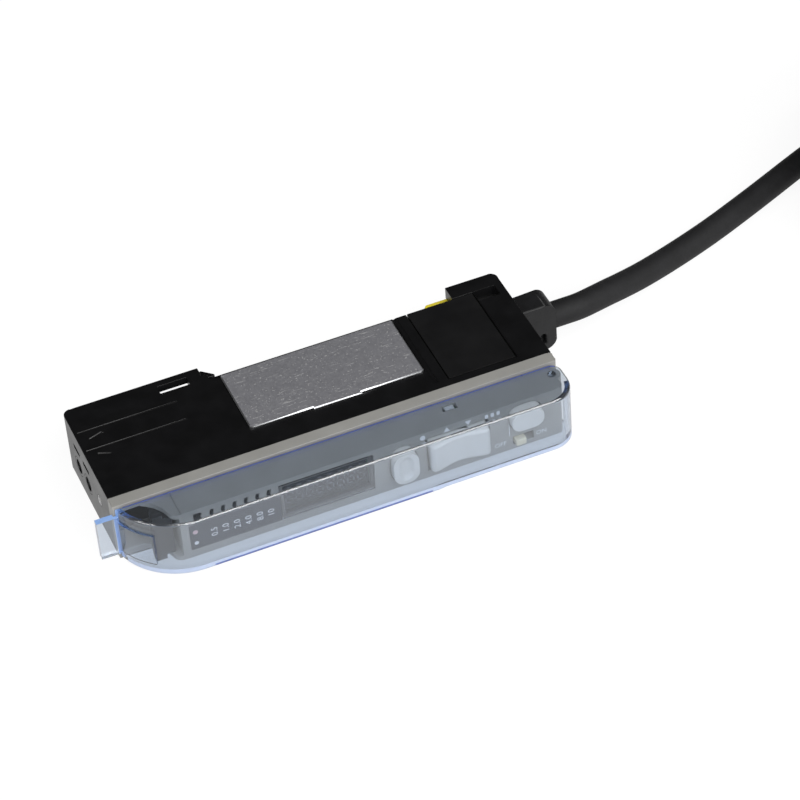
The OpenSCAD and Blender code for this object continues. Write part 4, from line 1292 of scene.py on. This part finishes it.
@dataclass
class Cover:
    """The clear hinged cover and the lock lever under it. Sizes in mm."""

    shell: Rounded = Rounded(
        "protective_cover", "clear_cover", "clear_plastic", COVER_CLEAR, body=Body.COVER)
    lever: Rounded = Rounded(
        "lock_lever", "lock_lever_paddle", "black_plastic", LEVER_BLACK, 0.15, 0.3, merge=False,
        body=Body.LEVER)
    # The band along the front of the foot, and the foot above it, both painted with an opaque blue glow
    band_x: tuple[float, float] = (11.5, 44.5)
    band_z: float = 0.8
    foot_z: float = 1.3
    foot_x: float = 0.8
    # The rear edge, its strip on the upper side, and where its painted deep blue glow starts
    rear_y: float = -2.15
    rear_deep: float = 0.9
    strip_y: float = -2.72
    strip_deep: float = 0.1
    # Where the thin end's pale painted glow stops
    light_x: float = 1.3
    top_z: float = 9.85
    # The tab's top lies lower than the cover's and ends here
    tab_x: float = 0.3
    tab_drop: float = 0.5
    # Shares of a face's normal: leaning a way, not across, facing it, lying flat
    leans: float = 0.2
    across: float = 0.5
    facing: float = 0.9
    flat: float = 0.97

    def cut(self, cover: bpy.types.Object) -> None:
        """Cuts the cover's faces where its finishes meet.

        Args:
            cover: The cover.
        """
        cuts = [(at(x, 0.0, 0.0), (1, 0, 0)) for x in (*self.band_x, self.light_x)]
        cuts += [(at(0.0, self.strip_y, 0.0), (0, 1, 0))]
        cuts += [(at(0.0, 0.0, z), (0, 0, 1)) for z in (self.band_z, self.foot_z)]
        only(cover)
        bpy.ops.object.mode_set(mode="EDIT")
        for place, normal in cuts:
            bpy.ops.mesh.select_all(action="SELECT")
            bpy.ops.mesh.bisect(plane_co=place, plane_no=normal)
        bpy.ops.object.mode_set(mode="OBJECT")
        smooth(cover)

    def look(self, face: bpy.types.MeshPolygon) -> Finish | None:
        """Tells which painted glow finish of its own a face of the cover has.

        Args:
            face: The face.

        Returns:
            The painted glow finish, or None for the clear wall.
        """
        middle, normal = face.center, face.normal
        wall, light, tab, foot_start, left, right = (
            at(x, 0.0, 0.0).x for x in (0.0, self.light_x, self.tab_x, self.foot_x, *self.band_x))
        strip, rear = (at(0.0, y, 0.0).y for y in (self.strip_y, self.rear_y))
        band, foot, top = (z * MM for z in (self.band_z, self.foot_z, self.top_z))
        behind = normal.y > self.leans and abs(normal.x) < self.across
        behind = behind and middle.y > rear - self.rear_deep * MM
        above = normal.z > self.flat and middle.z > top - self.strip_deep * MM and middle.y > strip
        on_tab = normal.z > self.facing and middle.z < top - self.tab_drop * MM and middle.x < tab
        in_front = normal.y < -self.leans
        if middle.x > light and middle.z > top / 2 and (behind or above):
            return COVER_EDGE_PAINTED_GLOW
        if middle.x < light and (behind and normal.y > self.facing and middle.x > wall or on_tab):
            return COVER_END_PAINTED_GLOW
        if in_front and middle.z < band and left < middle.x < right:
            return COVER_BAND_PAINTED_GLOW
        if in_front and band / 2 < middle.z < foot and middle.x > foot_start:
            return COVER_FOOT_PAINTED_GLOW
        return None

    def clear(self) -> None:
        """Makes the cover, lets the glint lamp reach it and paints the glow of its edges, end, foot and
        lowest band in opaque blue.
        """
        cover = self.shell.shape()
        self.cut(cover)
        bpy.data.collections[GLINT_SET].objects.link(cover)
        self.shell.hand_in(cover)
        looks = [self.look(face) for face in cover.data.polygons]
        for finish in (COVER_EDGE_PAINTED_GLOW, COVER_END_PAINTED_GLOW, COVER_BAND_PAINTED_GLOW, COVER_FOOT_PAINTED_GLOW):
            second_finish(cover, finish, [i for i, look in enumerate(looks) if look is finish])

    def build(self) -> None:
        """Makes the cover and the lever."""
        self.clear()
        self.lever.make()


@dataclass
class Inside:
    """What the case hides: the CAD nodes stay and get their finishes."""

    finishes: dict[str, Finish] = field(default_factory=lambda: {
        "panel_board": BOARD_GREEN, "main_board": BOARD_GREEN, "display_module": MODULE_BLACK,
        "indicator_leds": LED_PALE, "key_switches": SWITCH_STEEL, "selector_body": CHIP_EPOXY,
        "board_carrier": CARRIER_GREY, "controller_chip": CHIP_EPOXY, "board_link": CHIP_EPOXY,
        "shield_can": BRIGHT_STEEL, "emitter_led": EMITTER_RED, "receiver_diode": CHIP_EPOXY,
        "lever_pin": BRIGHT_STEEL, "fibre_clamp": CLAMP_NATURAL})

    def build(self) -> None:
        """Gives each hidden node its finish."""
        for node, finish in self.finishes.items():
            dress(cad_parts[node], finish)
            LOG.info("%s is dressed in %s", node, finish.name)


def main() -> None:
    """Builds the scene in order."""
    logging.basicConfig(level=logging.INFO, format="%(name)s: %(message)s")
    for part in (Stage(), Cable(), Case(), Panel(), Keys(), Cover(), Inside()):
        part.build()
    bpy.ops.object.select_all(action="DESELECT")


if __name__ == "__main__":
    main()
